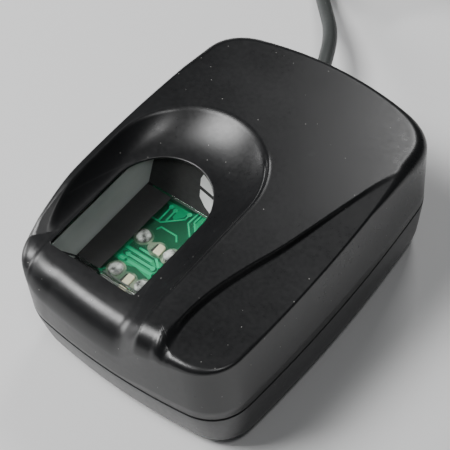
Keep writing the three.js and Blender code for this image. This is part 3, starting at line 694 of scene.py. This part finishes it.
ground = finish("ground_glass", (0.40, 0.43, 0.415), (0.54, 0.57, 0.555), 0.55, 0.75,
                grain_scale=500.0, bump=0.02)
side_in = PRISM_X[0] + 0.05
points, faces = plate([(side_in, y, z) for y, z in [(-23.7, 21.0), (-18.7, 7.5), (0.0, 7.5),
                                                    (3.6, 21.0)]],
                      (1, 0, 0), 0.03)
piece("ground_side", points, faces, ground, "optical_glass", smooth=False)
edge_strips = joined([
    plate([(-12.1, -18.62, 7.5), (-0.4, -18.62, 7.5), (-0.4, -18.35, 7.5), (-12.1, -18.35, 7.5)],
          (0, 0, 1), 0.03),
    plate([(-12.1, -0.45, 7.5), (-0.4, -0.45, 7.5), (-0.4, -0.25, 7.5), (-12.1, -0.25, 7.5)],
          (0, 0, 1), 0.03),
])
dull_edge = finish("ground_edge", (0.07, 0.075, 0.072), (0.13, 0.135, 0.13), 0.6, 0.8, bump=0.01)
piece("ground_edges", *edge_strips, dull_edge, "optical_glass", smooth=False)

# Painted shade: a flat black for sheets set just inside the glass, where it shows only the shaded
# housing.
painted_shade_black = finish("painted_shade_black", (0.017, 0.017, 0.017), (0.027, 0.026, 0.025), 0.6, 0.8, bump=0.01)


def on_back_end(x, z, inside):
    """A point on the prism's slanted back end at a height, moved into the glass."""
    return (x, (z - 7.3) * 4.0 / 14.0 - 0.9615 * inside, z + 0.2747 * inside)


back_in = (0.0, -0.9615, 0.2747)
# Two black sheets of painted shade: one on the slanted back end, one over the bottom under the left
# part.
paint = joined([
    plate([on_back_end(x, z, 0.12) for x, z in [(-17.8, 7.6), (-0.35, 7.6), (-0.35, 20.9),
                                                (-17.8, 20.9)]], back_in, 0.03),
    plate([(-17.8, -18.5, 7.44), (-13.0, -18.5, 7.44), (-12.5, -0.4, 7.44), (-17.8, -0.4, 7.44)],
          (0, 0, 1), 0.03),
])
piece("prism_painted_shade", *paint, painted_shade_black, "black_resin", smooth=False)
# Painted reflection: two white patches just inside the back end, for bright light that the glass
# mirrors there by total reflection.
white = finish("painted_reflection_white", (0.55, 0.55, 0.54), (0.80, 0.80, 0.79), 0.5, 0.65, bump=0.004)
reflection_patches = joined([
    plate([on_back_end(x, z, 0.2) for x, z in [(-7.75, 15.0), (-6.2, 14.5), (-4.6, 13.95),
                                               (-0.5, 12.6), (-0.5, 20.8),
                                               (-6.6, 20.8), (-7.5, 19.0), (-7.95, 17.0)]],
          back_in, 0.03),
    plate([on_back_end(x, z, 0.2) for x, z in [(-7.6, 13.9), (-7.35, 11.9), (-6.0, 9.9),
                                               (-4.4, 8.5), (-0.5, 8.0),
                                               (-0.5, 11.6), (-4.6, 12.95)]], back_in, 0.03),
])
piece("painted_reflection_patches", *reflection_patches, white, "lamp_white", smooth=False)

# --- Lamp board ------------------------------------------------------------------------------
# The green circuit board under the prism: glass fibre under green lacquer, with raised copper
# tracks, bare solder pads, and six soldered lamps that light the finger from below.
board_green = finish("board_lacquer", (0.0008, 0.050, 0.022), (0.0015, 0.085, 0.036), 0.3, 0.42,
                     grain_scale=700.0, bump=0.01)
track_green = finish("track_lacquer", (0.006, 0.31, 0.135), (0.014, 0.42, 0.20), 0.28, 0.38,
                     grain_scale=700.0, bump=0.01)
pour_green = finish("pour_lacquer", (0.0008, 0.19, 0.075), (0.002, 0.27, 0.11), 0.3, 0.4,
                    grain_scale=700.0, bump=0.01)
flux = finish("solder_and_flux", (0.03, 0.09, 0.05), (0.20, 0.24, 0.17), 0.25, 0.5,
              grain_scale=420.0, bump=0.05, patch_scale=500.0)
give("lamp_board", board_green)
BOARD_Z = 6.2


def disc(x, y, radius, z, height, sides=20, squash=1.0):
    """A low upright disc: an outline round a point, raised by a height."""
    turn = np.arange(sides) * 2 * np.pi / sides
    return plate(np.column_stack([x + radius * np.cos(turn), y + squash * radius * np.sin(turn),
                                  np.full(sides, z)]),
                 (0, 0, 1), height)


def track(points, width, z, height):
    """A copper track: a strip of one width along straight runs, with a round at each corner."""
    points = np.asarray(points, float)
    parts = []
    for a, b in zip(points[:-1], points[1:]):
        along = (b - a) / np.linalg.norm(b - a)
        across = 0.5 * width * np.array([-along[1], along[0]])
        parts.append(plate([(*q, z) for q in (a - across, b - across, b + across, a + across)],
                           (0, 0, 1), height))
    return parts + [disc(*q, 0.5 * width, z, height, 14) for q in points]


def area(corners, z, height):
    """A filled copper area between corners."""
    return [plate([(*q, z) for q in corners], (0, 0, 1), height)]


pour_parts = (area([(-17.4, -9.8), (-12.7, -10.29), (-12.7, -11.54), (-0.2, -11.0), (-0.2, -14.0),
                    (-5.53, -14.95), (-7.2, -14.65),
                    (-8.97, -14.34), (-10.64, -14.87), (-13.14, -14.68), (-17.4, -14.0)], BOARD_Z, 0.02)
              + area([(-13.38, -0.49), (-8.79, -0.47), (-8.8, -1.72), (-9.95, -3.19),
                      (-10.47, -2.77), (-10.46, -1.11), (-13.38, -1.12)],
                     BOARD_Z, 0.02)
              + area([(-17.4, 1.6), (-13.2, 1.6), (-13.74, -9.46), (-17.4, -9.0)], BOARD_Z, 0.02)
              + area([(-6.41, -2.34), (-0.2, -6.0), (-0.2, 1.6), (-6.2, 1.6)], BOARD_Z, 0.02))
piece("copper_areas", *joined(pour_parts), pour_green, "board_green", smooth=False)
slot_parts = (track([(-12.29, -12.95), (-6.14, -12.92)], 0.95, BOARD_Z, 0.03)
              + track([(-12.71, -12.33), (-7.5, -12.3)], 0.16, BOARD_Z, 0.03)
              + track([(-12.7, -11.28), (-10.83, -11.27)], 0.16, BOARD_Z, 0.03)
              + track([(-11.45, -11.43), (-7.39, -11.41), (-5.41, -12.76), (-0.4, -12.2)], 0.22,
                      BOARD_Z, 0.03))
piece("bare_gaps", *joined(slot_parts), board_green, "board_green", smooth=False)
track_parts = (track([(-11.98, -12.95), (-6.35, -12.92)], 0.5, BOARD_Z, 0.05)
               + track([(-10.72, -10.96), (-7.39, -10.94), (-5.62, -12.45), (-0.8, -11.9)], 0.42,
                       BOARD_Z, 0.05)
               + track([(-13.12, -11.96), (-7.6, -11.94)], 0.42, BOARD_Z, 0.05)
               + track([(-13.34, -14.05), (-11.26, -14.04), (-5.63, -14.01), (-0.8, -13.4)], 0.55,
                       BOARD_Z, 0.045)
               + track([(-8.38, -0.89), (-8.39, -2.03), (-11.42, -4.81), (-13.5, -4.87),
                        (-14.13, -5.92)], 0.3, BOARD_Z, 0.05)
               + track([(-11.92, -1.32), (-11.94, -4.76)], 0.3, BOARD_Z, 0.05)
               + track([(-10.88, -1.52), (-10.9, -3.92)], 0.34, BOARD_Z, 0.05)
               + track([(-7.25, 0.6), (-7.5, -2.34), (-5.37, -4.52), (-0.8, -4.3)], 0.28, BOARD_Z, 0.05)
               + track([(-6.6, 0.6), (-6.72, -1.61), (-5.26, -3.27), (-0.8, -3.1)], 0.28, BOARD_Z, 0.05)
               + track([(-11.01, -6.22), (-10.69, -5.54), (-7.46, -5.52), (-6.74, -6.4)], 0.3,
                       BOARD_Z, 0.05)
               + track([(-13.39, -3.41), (-13.38, -1.12)], 0.25, BOARD_Z, 0.05)
               + track([(-13.46, -18.02), (-12.73, -16.97)], 0.25, BOARD_Z, 0.05))
for x, y in [(-8.38, -0.83), (-11.92, -1.32), (-10.88, -1.52), (-11.67, -12.95), (-6.46, -12.92),
             (-7.21, -17.99), (-13.46, -18.12)]:
    track_parts.append(disc(x, y, 0.42, BOARD_Z, 0.06))
piece("copper_tracks", *joined(track_parts), track_green, "board_green", smooth=False)
LAMPS = [(-11.35, -16.5), (-5.5, -16.8), (-11.8, -8.75), (-5.5, -9.4)]
CHIPS = [(-8.4, -17.0), (-8.05, -9.5)]
pad_parts = [disc(x, y, 1.75, BOARD_Z, 0.07, 28) for x, y in LAMPS]
pad_parts += [disc(x, y, 1.7, BOARD_Z, 0.065, 28, 0.95) for x, y in CHIPS]
pad_parts += [disc(x + s, y, 1.1, BOARD_Z, 0.05, 24) for x, y in CHIPS for s in (-1.0, 0.9)]
piece("solder_pads", *joined(pad_parts), flux, "board_green", smooth=False)

# --- Lamps -----------------------------------------------------------------------------------
# Four round lamps of clear resin over a whitish core, and two ceramic chip lamps with a dark slit.
resin = finish("lamp_resin", (0.05, 0.05, 0.048), (0.50, 0.50, 0.48), 0.1, 0.35, grain_scale=620.0,
               bump=0.22, coarse=0.0,
               patch_scale=900.0)
ceramic = finish("chip_ceramic", (0.42, 0.38, 0.24), (0.66, 0.62, 0.46), 0.35, 0.5,
                 grain_scale=600.0, bump=0.02)
slit_black = finish("chip_slit", (0.012, 0.012, 0.010), (0.02, 0.02, 0.018), 0.3, 0.45)


def dome(x, y, radius, z, height, rings=9, sides=32):
    """A turned lamp: a short upright collar, then a rounded crown z = height * sqrt(1 - r^2)."""
    lift = np.concatenate([[0.0, 0.3], 0.3 + 0.7 * np.sin(np.linspace(0.12, 0.5 * np.pi, rings))])
    reach = np.concatenate([[1.0, 1.0], np.cos(np.linspace(0.12, 0.5 * np.pi - 0.06, rings))])
    turn = np.arange(sides) * 2 * np.pi / sides
    grid = np.stack([x + radius * reach[:, None] * np.cos(turn), y
                     + radius * reach[:, None] * np.sin(turn),
                     z + height * np.broadcast_to(lift[:, None], (len(lift), sides))], axis=-1)
    faces = grid_faces(len(lift), sides).tolist()
    last = (len(lift) - 1) * sides
    return grid.reshape(-1, 3), faces + [list(range(sides))[::-1], [last + j for j in range(sides)]]


for k, (x, y) in enumerate(LAMPS, 1):
    piece(f"round_lamp_body_{k}", *dome(x, y, 1.3, BOARD_Z + 0.07, 0.72), resin, "lamp_white",
          replaces=(f"round_lamp_{k}",))
for k, (x, y) in enumerate(CHIPS, 1):
    body = [(x - 0.42, y - 1.0), (x + 0.95, y - 1.0), (x + 0.95, y + 0.75), (x + 0.7, y + 1.0),
            (x - 0.42, y + 1.0)]
    bevelled(piece(f"chip_lamp_body_{k}", *plate([(*q, BOARD_Z + 0.07) for q in body], (0, 0, 1),
                                                 0.42), ceramic, "ceramic",
                   smooth=False, replaces=(f"chip_lamp_{k}",)), 0.12)
    slit = [(x - 1.0, y - 0.8), (x - 0.62, y - 0.9), (x - 0.62, y + 0.85), (x - 0.85, y + 0.8)]
    piece(f"chip_slit_{k}", *plate([(*q, BOARD_Z + 0.07) for q in slit], (0, 0, 1), 0.12),
          slit_black, "black_resin", smooth=False)

# --- Pockets of the lower cover --------------------------------------------------------------
# The moulded recesses in its underside: four round ones for the feet, three deep ones for the
# screw heads and a shallow rectangle for the rating plate. The mould leaves them in the shell.
FEET = [(-13.3, -20.6), (13.3, -20.6), (13.3, 20.4), (-13.3, 20.4)]
COVER_SCREWS = [(15.4, -11.5), (15.4, 11.5), (-16.4, 11.5)]


def cut(thing, parts):
    """Takes closed parts out of a piece and marks the new sharp edges."""
    points, faces = joined(parts)
    tool_mesh = bpy.data.meshes.new("cutter")
    tool_mesh.from_pydata((points * MM).tolist(), [], faces)
    tool = bpy.data.objects.new("cutter", tool_mesh)
    bpy.context.collection.objects.link(tool)
    take = thing.modifiers.new("pockets", "BOOLEAN")
    take.operation = "DIFFERENCE"
    take.solver = "EXACT"
    take.object = tool
    seen = thing.evaluated_get(bpy.context.evaluated_depsgraph_get())
    made = bpy.data.meshes.new_from_object(seen)
    thing.modifiers.remove(take)
    old = thing.data
    made.name = old.name
    thing.data = made
    bpy.data.objects.remove(tool)
    bpy.data.meshes.remove(tool_mesh)
    bpy.data.meshes.remove(old)
    made.set_sharp_from_angle(angle=np.radians(35.0))
    return thing


plate_pocket = plate([(-9.0, -7.0, -1.0), (9.0, -7.0, -1.0), (9.0, 7.0, -1.0), (-9.0, 7.0, -1.0)],
                     (0, 0, 1), 2.25)
cut(lower_cover, [disc(x, y, 4.3, -1.0, 2.6, 48) for x, y in FEET]
    + [disc(x, y, 2.4, -1.0, 3.7, 40) for x, y in COVER_SCREWS] + [plate_pocket])

# --- Feet ------------------------------------------------------------------------------------
# Four round pads of black rubber, die-cut with a soft lower edge and stuck in their pockets.
rubber = finish("black_rubber", (0.016, 0.016, 0.016), (0.026, 0.026, 0.025), 0.65, 0.85,
                grain_scale=700.0,
                bump=0.03, dust=0.9)


def turned(profile, x, y, sides=48):
    """A closed body turned about an upright axis from (radius, height) pairs, low end first."""
    turn = np.arange(sides) * 2.0 * np.pi / sides
    radius, z = np.array(profile, float).T
    grid = np.stack([x + radius[:, None] * np.cos(turn), y + radius[:, None] * np.sin(turn),
                     np.broadcast_to(z[:, None], (len(z), sides))], axis=-1)
    last = (len(profile) - 1) * sides
    ends = [list(range(sides))[::-1], [last + j for j in range(sides)]]
    return grid.reshape(-1, 3), grid_faces(len(profile), sides).tolist() + ends


FOOT_PROFILE = [(3.2, 0.03), (3.5, 0.0), (3.72, 0.05), (3.88, 0.18), (3.97, 0.38), (4.0, 0.62),
                (3.98, 1.0),
                (3.98, 1.5)]
for k, (x, y) in enumerate(FEET, 1):
    piece(f"foot_pad_{k}", *turned(FOOT_PROFILE, x, y), rubber, "rubber",
          replaces=(f"rubber_foot_{k}",))

# --- Screws ----------------------------------------------------------------------------------
# Three zinc-plated screws that hold the covers together from below, and four small ones on the
# boards. Rolled and pressed steel, bright where the driver has rubbed.
zinc = finish("zinc_steel", (0.42, 0.43, 0.44), (0.55, 0.55, 0.54), 0.28, 0.45, grain_scale=1200.0,
              bump=0.01,
              metallic=1.0, wear=0.2)
for k in range(1, 4):
    give(f"cover_screw_{k}", zinc)
for k in range(1, 5):
    give(f"board_screw_{k}", zinc)

# --- Rating plate ----------------------------------------------------------------------------
# A silvered label foil with rounded corners on the underside, printed with blank grey bars where a
# maker would put its data. It is stuck in its pocket.
foil = finish("label_foil", (0.50, 0.51, 0.52), (0.58, 0.58, 0.58), 0.38, 0.5, grain_scale=1500.0,
              bump=0.004,
              metallic=0.6, dust=0.3)
print_grey = finish("label_print", (0.035, 0.036, 0.038), (0.05, 0.05, 0.052), 0.5, 0.6)
label_turn = np.linspace(0.0, 0.5 * np.pi, 7)
label_corner = np.column_stack([np.cos(label_turn), np.sin(label_turn)])


def rounded_panel(half_x, half_y, radius, z, height):
    """A flat panel round the origin with four rounded corners."""
    outline = []
    for k, (sx, sy) in enumerate([(1, 1), (-1, 1), (-1, -1), (1, -1)]):
        spin = np.array([[0, -1], [1, 0]])
        arc = label_corner @ np.linalg.matrix_power(spin, k).T * radius
        outline += [(sx * (half_x - radius) + a, sy * (half_y - radius) + b, z) for a, b in arc]
    return plate(outline, (0, 0, 1), height)


piece("rating_label", *rounded_panel(8.6, 6.6, 1.0, 1.05, 0.15), foil, "label_film", smooth=False,
      replaces=("rating_plate",))
bars = []
for row, reach in enumerate([(-7.2, 4.6), (-7.2, 6.8), (-7.2, 1.5), (-7.2, 5.4)]):
    y = 4.4 - 2.2 * row
    bars.append(plate([(reach[0], y, 1.0), (reach[1], y, 1.0), (reach[1], y + 0.8, 1.0),
                       (reach[0], y + 0.8, 1.0)],
                      (0, 0, 1), 0.05))
for k, wide in enumerate([0.5, 0.25, 0.25, 0.6, 0.25, 0.4, 0.25, 0.6, 0.3, 0.25, 0.5, 0.25]):
    x = -7.2 + 0.95 * k
    bars.append(plate([(x, -5.6, 1.0), (x + wide, -5.6, 1.0), (x + wide, -3.6, 1.0),
                       (x, -3.6, 1.0)], (0, 0, 1), 0.05))
piece("label_bars", *joined(bars), print_grey, "black_resin", smooth=False)

# --- Holders and optics ----------------------------------------------------------------------
# The moulded black nylon cradle and lens holder, the rubber gasket round the prism, the white
# diffuser, and the small camera behind the prism: a brass barrel with a glass lens and its sensor.
nylon = finish("black_nylon", (0.010, 0.010, 0.010), (0.017, 0.017, 0.016), 0.55, 0.7,
               grain_scale=900.0, bump=0.015)
diffuse_white = finish("diffuser_white", (0.62, 0.62, 0.60), (0.74, 0.74, 0.72), 0.5, 0.65,
                       grain_scale=900.0)
brass = finish("anodised_brass", (0.20, 0.155, 0.065), (0.27, 0.21, 0.10), 0.3, 0.42, metallic=1.0,
               bump=0.01)
for name in ("prism_cradle", "lens_holder"):
    give(name, nylon)
give("prism_gasket", rubber)
give("light_diffuser", diffuse_white)
give("lens_barrel", brass)
give("lens", glass)

# --- Boards ----------------------------------------------------------------------------------
# The main board and the sensor board: green lacquered glass fibre with moulded chips, a steel
# crystal can, and white nylon plugs and sockets that carry the lead's wires.
epoxy = finish("chip_epoxy", (0.014, 0.014, 0.015), (0.022, 0.022, 0.022), 0.45, 0.6,
               grain_scale=1400.0, bump=0.01)
white_nylon = finish("white_nylon", (0.66, 0.65, 0.60), (0.74, 0.73, 0.69), 0.4, 0.55,
                     grain_scale=900.0)
for name in ("main_board", "sensor_board"):
    give(name, board_green)
for name in ("image_sensor", "usb_controller", "flash_memory", "voltage_regulator"):
    give(name, epoxy)
give("crystal", zinc)
for name in ("board_link", "cable_socket", "cable_connector"):
    give(name, white_nylon)
give("inner_lead", vinyl)

# --- Cable boot ------------------------------------------------------------------------------
# The tapered strain relief: soft black rubber moulded with rings, so that it bends with the cable.
# A flange inside the back wall and a collar outside it hold it in the housing.
boot_rows = [(1.7, -5.1), (2.5, -5.1), (2.5, -4.7), (1.9, -4.65), (1.9, -0.6), (2.42, -0.6),
             (2.5, -0.5), (2.5, 0.55)]
for along in np.linspace(0.8, 6.5, 58):
    ring = 0.5 - 0.5 * np.cos(2.0 * np.pi * (along - 0.8) / 1.14)
    boot_rows.append((2.46 - 0.055 * (along - 0.8) - 0.2 * ring ** 2, along))
boot_rows += [(2.1, 6.75), (2.02, 6.93), (1.9, 7.0), (1.7, 7.0)]
boot_grid = np.array([[(EXIT[0] + r * np.cos(t), EXIT[1] + y, EXIT[2] - r * np.sin(t))
                       for t in np.arange(40) * 2.0 * np.pi / 40] for r, y in boot_rows])
boot = piece("boot_sleeve", boot_grid.reshape(-1, 3),
             grid_faces(len(boot_rows), 40, wrap_rows=True), rubber,
             "rubber", replaces=("cable_boot",))

# --- Coil tie --------------------------------------------------------------------------------
# A flat black strap closed round the coil's turns, a soft band with rounded edges.
TIE_DEG, TIE_MIDDLE_R, TIE_MIDDLE_Z = 300.0, 16.9, 6.675
loop_turn = np.arange(96) * 2.0 * np.pi / 96


def soft_box(turn, half_a, half_b, power):
    """A superellipse |a/half_a|^power + |b/half_b|^power = 1: a box with rounded corners."""
    c, s = np.cos(turn), np.sin(turn)
    return np.column_stack([half_a * np.sign(c) * np.abs(c) ** (2.0 / power),
                            half_b * np.sign(s) * np.abs(s) ** (2.0 / power)])


tie_section = [(-0.3, -1.85), (-0.15, -2.0), (0.15, -2.0), (0.3, -1.85), (0.3, 1.85), (0.15, 2.0),
               (-0.15, 2.0), (-0.3, 1.85)]
across = np.array([np.cos(np.radians(TIE_DEG)), np.sin(np.radians(TIE_DEG)), 0.0])
ahead = np.array([-across[1], across[0], 0.0])
tie_grid = []
for thick, wide in tie_section:
    loop = soft_box(loop_turn, 6.425 + thick, 6.325 + thick, 9.0)
    tie_grid.append(np.array([*COIL_CENTRE, TIE_MIDDLE_Z]) + (TIE_MIDDLE_R + loop[:, :1]) * across
                    + loop[:, 1:] * np.array([0.0, 0.0, 1.0]) + wide * ahead)
tie = piece("coil_strap", np.array(tie_grid).reshape(-1, 3),
            grid_faces(8, 96, wrap_rows=True)[:, ::-1], rubber, "rubber",
            replaces=("cable_tie",))

# --- USB plug --------------------------------------------------------------------------------
# A vinyl overmould with a ringed neck and grip ribs round a folded steel shell with two latch
# windows; inside it a white tongue carries four gilt contacts.
PLUG_Y, PLUG_Z = -1.0, 4.0
overmould_vinyl = finish("overmould_vinyl", (0.022, 0.023, 0.023), (0.032, 0.033, 0.033), 0.45,
                         0.6, grain_scale=1200.0,
                         bump=0.012, dust=0.4)
plug_steel = finish("plug_steel", (0.55, 0.55, 0.55), (0.66, 0.65, 0.64), 0.2, 0.34,
                    grain_scale=1500.0, bump=0.006,
                    metallic=1.0, wear=0.2)
gilt = finish("gilt_contacts", (0.62, 0.43, 0.16), (0.72, 0.52, 0.24), 0.22, 0.34, metallic=1.0,
              bump=0.004)
ring_turn = np.arange(72) * 2.0 * np.pi / 72


def plug_ring(x, half_wide, half_high, power, lift=0.0):
    """A ring round the plug's middle line at a place along it."""
    box = soft_box(ring_turn, half_wide, half_high, power)
    return np.column_stack([np.full(len(box), x), PLUG_Y + box[:, 0], PLUG_Z + lift + box[:, 1]])


plug_rings = []
for x in np.linspace(-10.0, 0.6, 64):
    share = (x + 10.0) / 10.6
    ring = 0.5 - 0.5 * np.cos(2.0 * np.pi * (x + 10.0) / 1.76)
    reach = 1.85 + 0.75 * share - 0.22 * ring ** 2
    plug_rings.append(plug_ring(x, reach, reach, 2.0, -0.75 * (1.0 - share)))
plug_rings += [plug_ring(1.0, 3.0, 2.9, 2.2), plug_ring(1.2, 5.2, 3.2, 3.0),
               plug_ring(1.6, 6.6, 3.6, 4.0),
               plug_ring(2.3, 7.2, 3.85, 5.0), plug_ring(3.2, 7.45, 3.97, 6.0),
               plug_ring(4.6, 7.5, 4.0, 6.5)]
for x in np.linspace(5.4, 14.4, 60):
    groove = (0.5 - 0.5 * np.cos(2.0 * np.pi * (x - 5.4) / 1.5)) ** 3
    plug_rings.append(plug_ring(x, 7.5 - 0.45 * groove, 4.0 - 0.12 * groove, 6.5))
plug_rings += [plug_ring(16.0, 7.5, 4.0, 6.5), plug_ring(18.2, 7.5, 4.0, 6.5),
               plug_ring(18.7, 7.4, 3.9, 6.5),
               plug_ring(18.93, 7.2, 3.7, 6.5), plug_ring(19.0, 6.9, 3.4, 7.0),
               plug_ring(19.0, 6.3, 2.6, 10.0),
               plug_ring(13.0, 6.3, 2.6, 10.0)]
body = from_plug(np.array(plug_rings)).reshape(-1, 3)
body_faces = grid_faces(len(plug_rings), 72).tolist()
body_faces += [list(range(72))[::-1], [len(body) - 72 + j for j in range(72)]]
plug_body = piece("plug_body", body, body_faces, overmould_vinyl, "cable_vinyl",
                  replaces=("plug_overmould",))

shell_rings = [plug_ring(13.4, 5.7, 1.95, 14.0), plug_ring(13.4, 6.0, 2.25, 12.0),
               plug_ring(30.8, 6.0, 2.25, 12.0),
               plug_ring(31.0, 5.9, 2.15, 12.0), plug_ring(31.0, 5.75, 2.0, 14.0),
               plug_ring(30.8, 5.7, 1.95, 14.0)]
shell = from_plug(np.array(shell_rings)).reshape(-1, 3)
plug_casing = piece("plug_casing", shell, grid_faces(len(shell_rings), 72, wrap_rows=True),
                    plug_steel, "steel",
                    replaces=("plug_shell",))
windows = []
for y in (-3.6, 1.6):
    low = from_plug([(24.5, y - 1.25, -2.0), (27.0, y - 1.25, -2.0), (27.0, y + 1.25, -2.0),
                     (24.5, y + 1.25, -2.0)])
    windows.append(plate(low, (0, 0, 1), 14.0))
cut(plug_casing, windows)
give("plug_tongue", white_nylon)
for k in range(1, 5):
    give(f"plug_contact_{k}", gilt)

# --- Floor and light -------------------------------------------------------------------------
# A plain pale table top, a large soft key from the front left, and three softer lamps: one low at
# the left, a small one overhead and a strip behind.
bpy.ops.mesh.primitive_plane_add(size=6.0, location=(0.0, 0.0, -0.0001))
floor = bpy.context.object
floor.name = "table_top"
pale = bpy.data.materials.new("pale_table")
pale.use_nodes = True
pale.node_tree.nodes["Principled BSDF"].inputs["Base Color"].default_value = (0.86, 0.86, 0.86, 1.0)
pale.node_tree.nodes["Principled BSDF"].inputs["Roughness"].default_value = 0.9
floor.data.materials.append(pale)


def softbox(name, direction, distance, width, height, watts):
    """A rectangular lamp that looks at the reader from a direction."""
    lamp = bpy.data.objects.new(name, bpy.data.lights.new(name, "AREA"))
    bpy.context.collection.objects.link(lamp)
    lamp.data.shape = "RECTANGLE"
    lamp.data.size, lamp.data.size_y = width, height
    lamp.data.energy = watts
    towards = Vector(direction).normalized()
    lamp.location = towards * distance
    lamp.rotation_euler = towards.to_track_quat("Z", "Y").to_euler()
    return lamp


softbox("key", (-0.43, -0.34, 0.84), 0.8, 0.30, 0.30, 5.8)
softbox("left", (-0.90, -0.30, 0.32), 0.9, 0.4, 0.3, 4.0)
softbox("overhead", (0.28, -0.17, 0.94), 0.9, 0.16, 0.16, 1.0)
softbox("behind", (-0.20, 0.64, 0.74), 0.9, 0.21, 0.15, 1.5)
world = bpy.data.worlds.new("room")
bpy.context.scene.world = world
world.use_nodes = True
world.node_tree.nodes["Background"].inputs["Color"].default_value = (0.9, 0.95, 1.0, 1.0)
world.node_tree.nodes["Background"].inputs["Strength"].default_value = 0.055
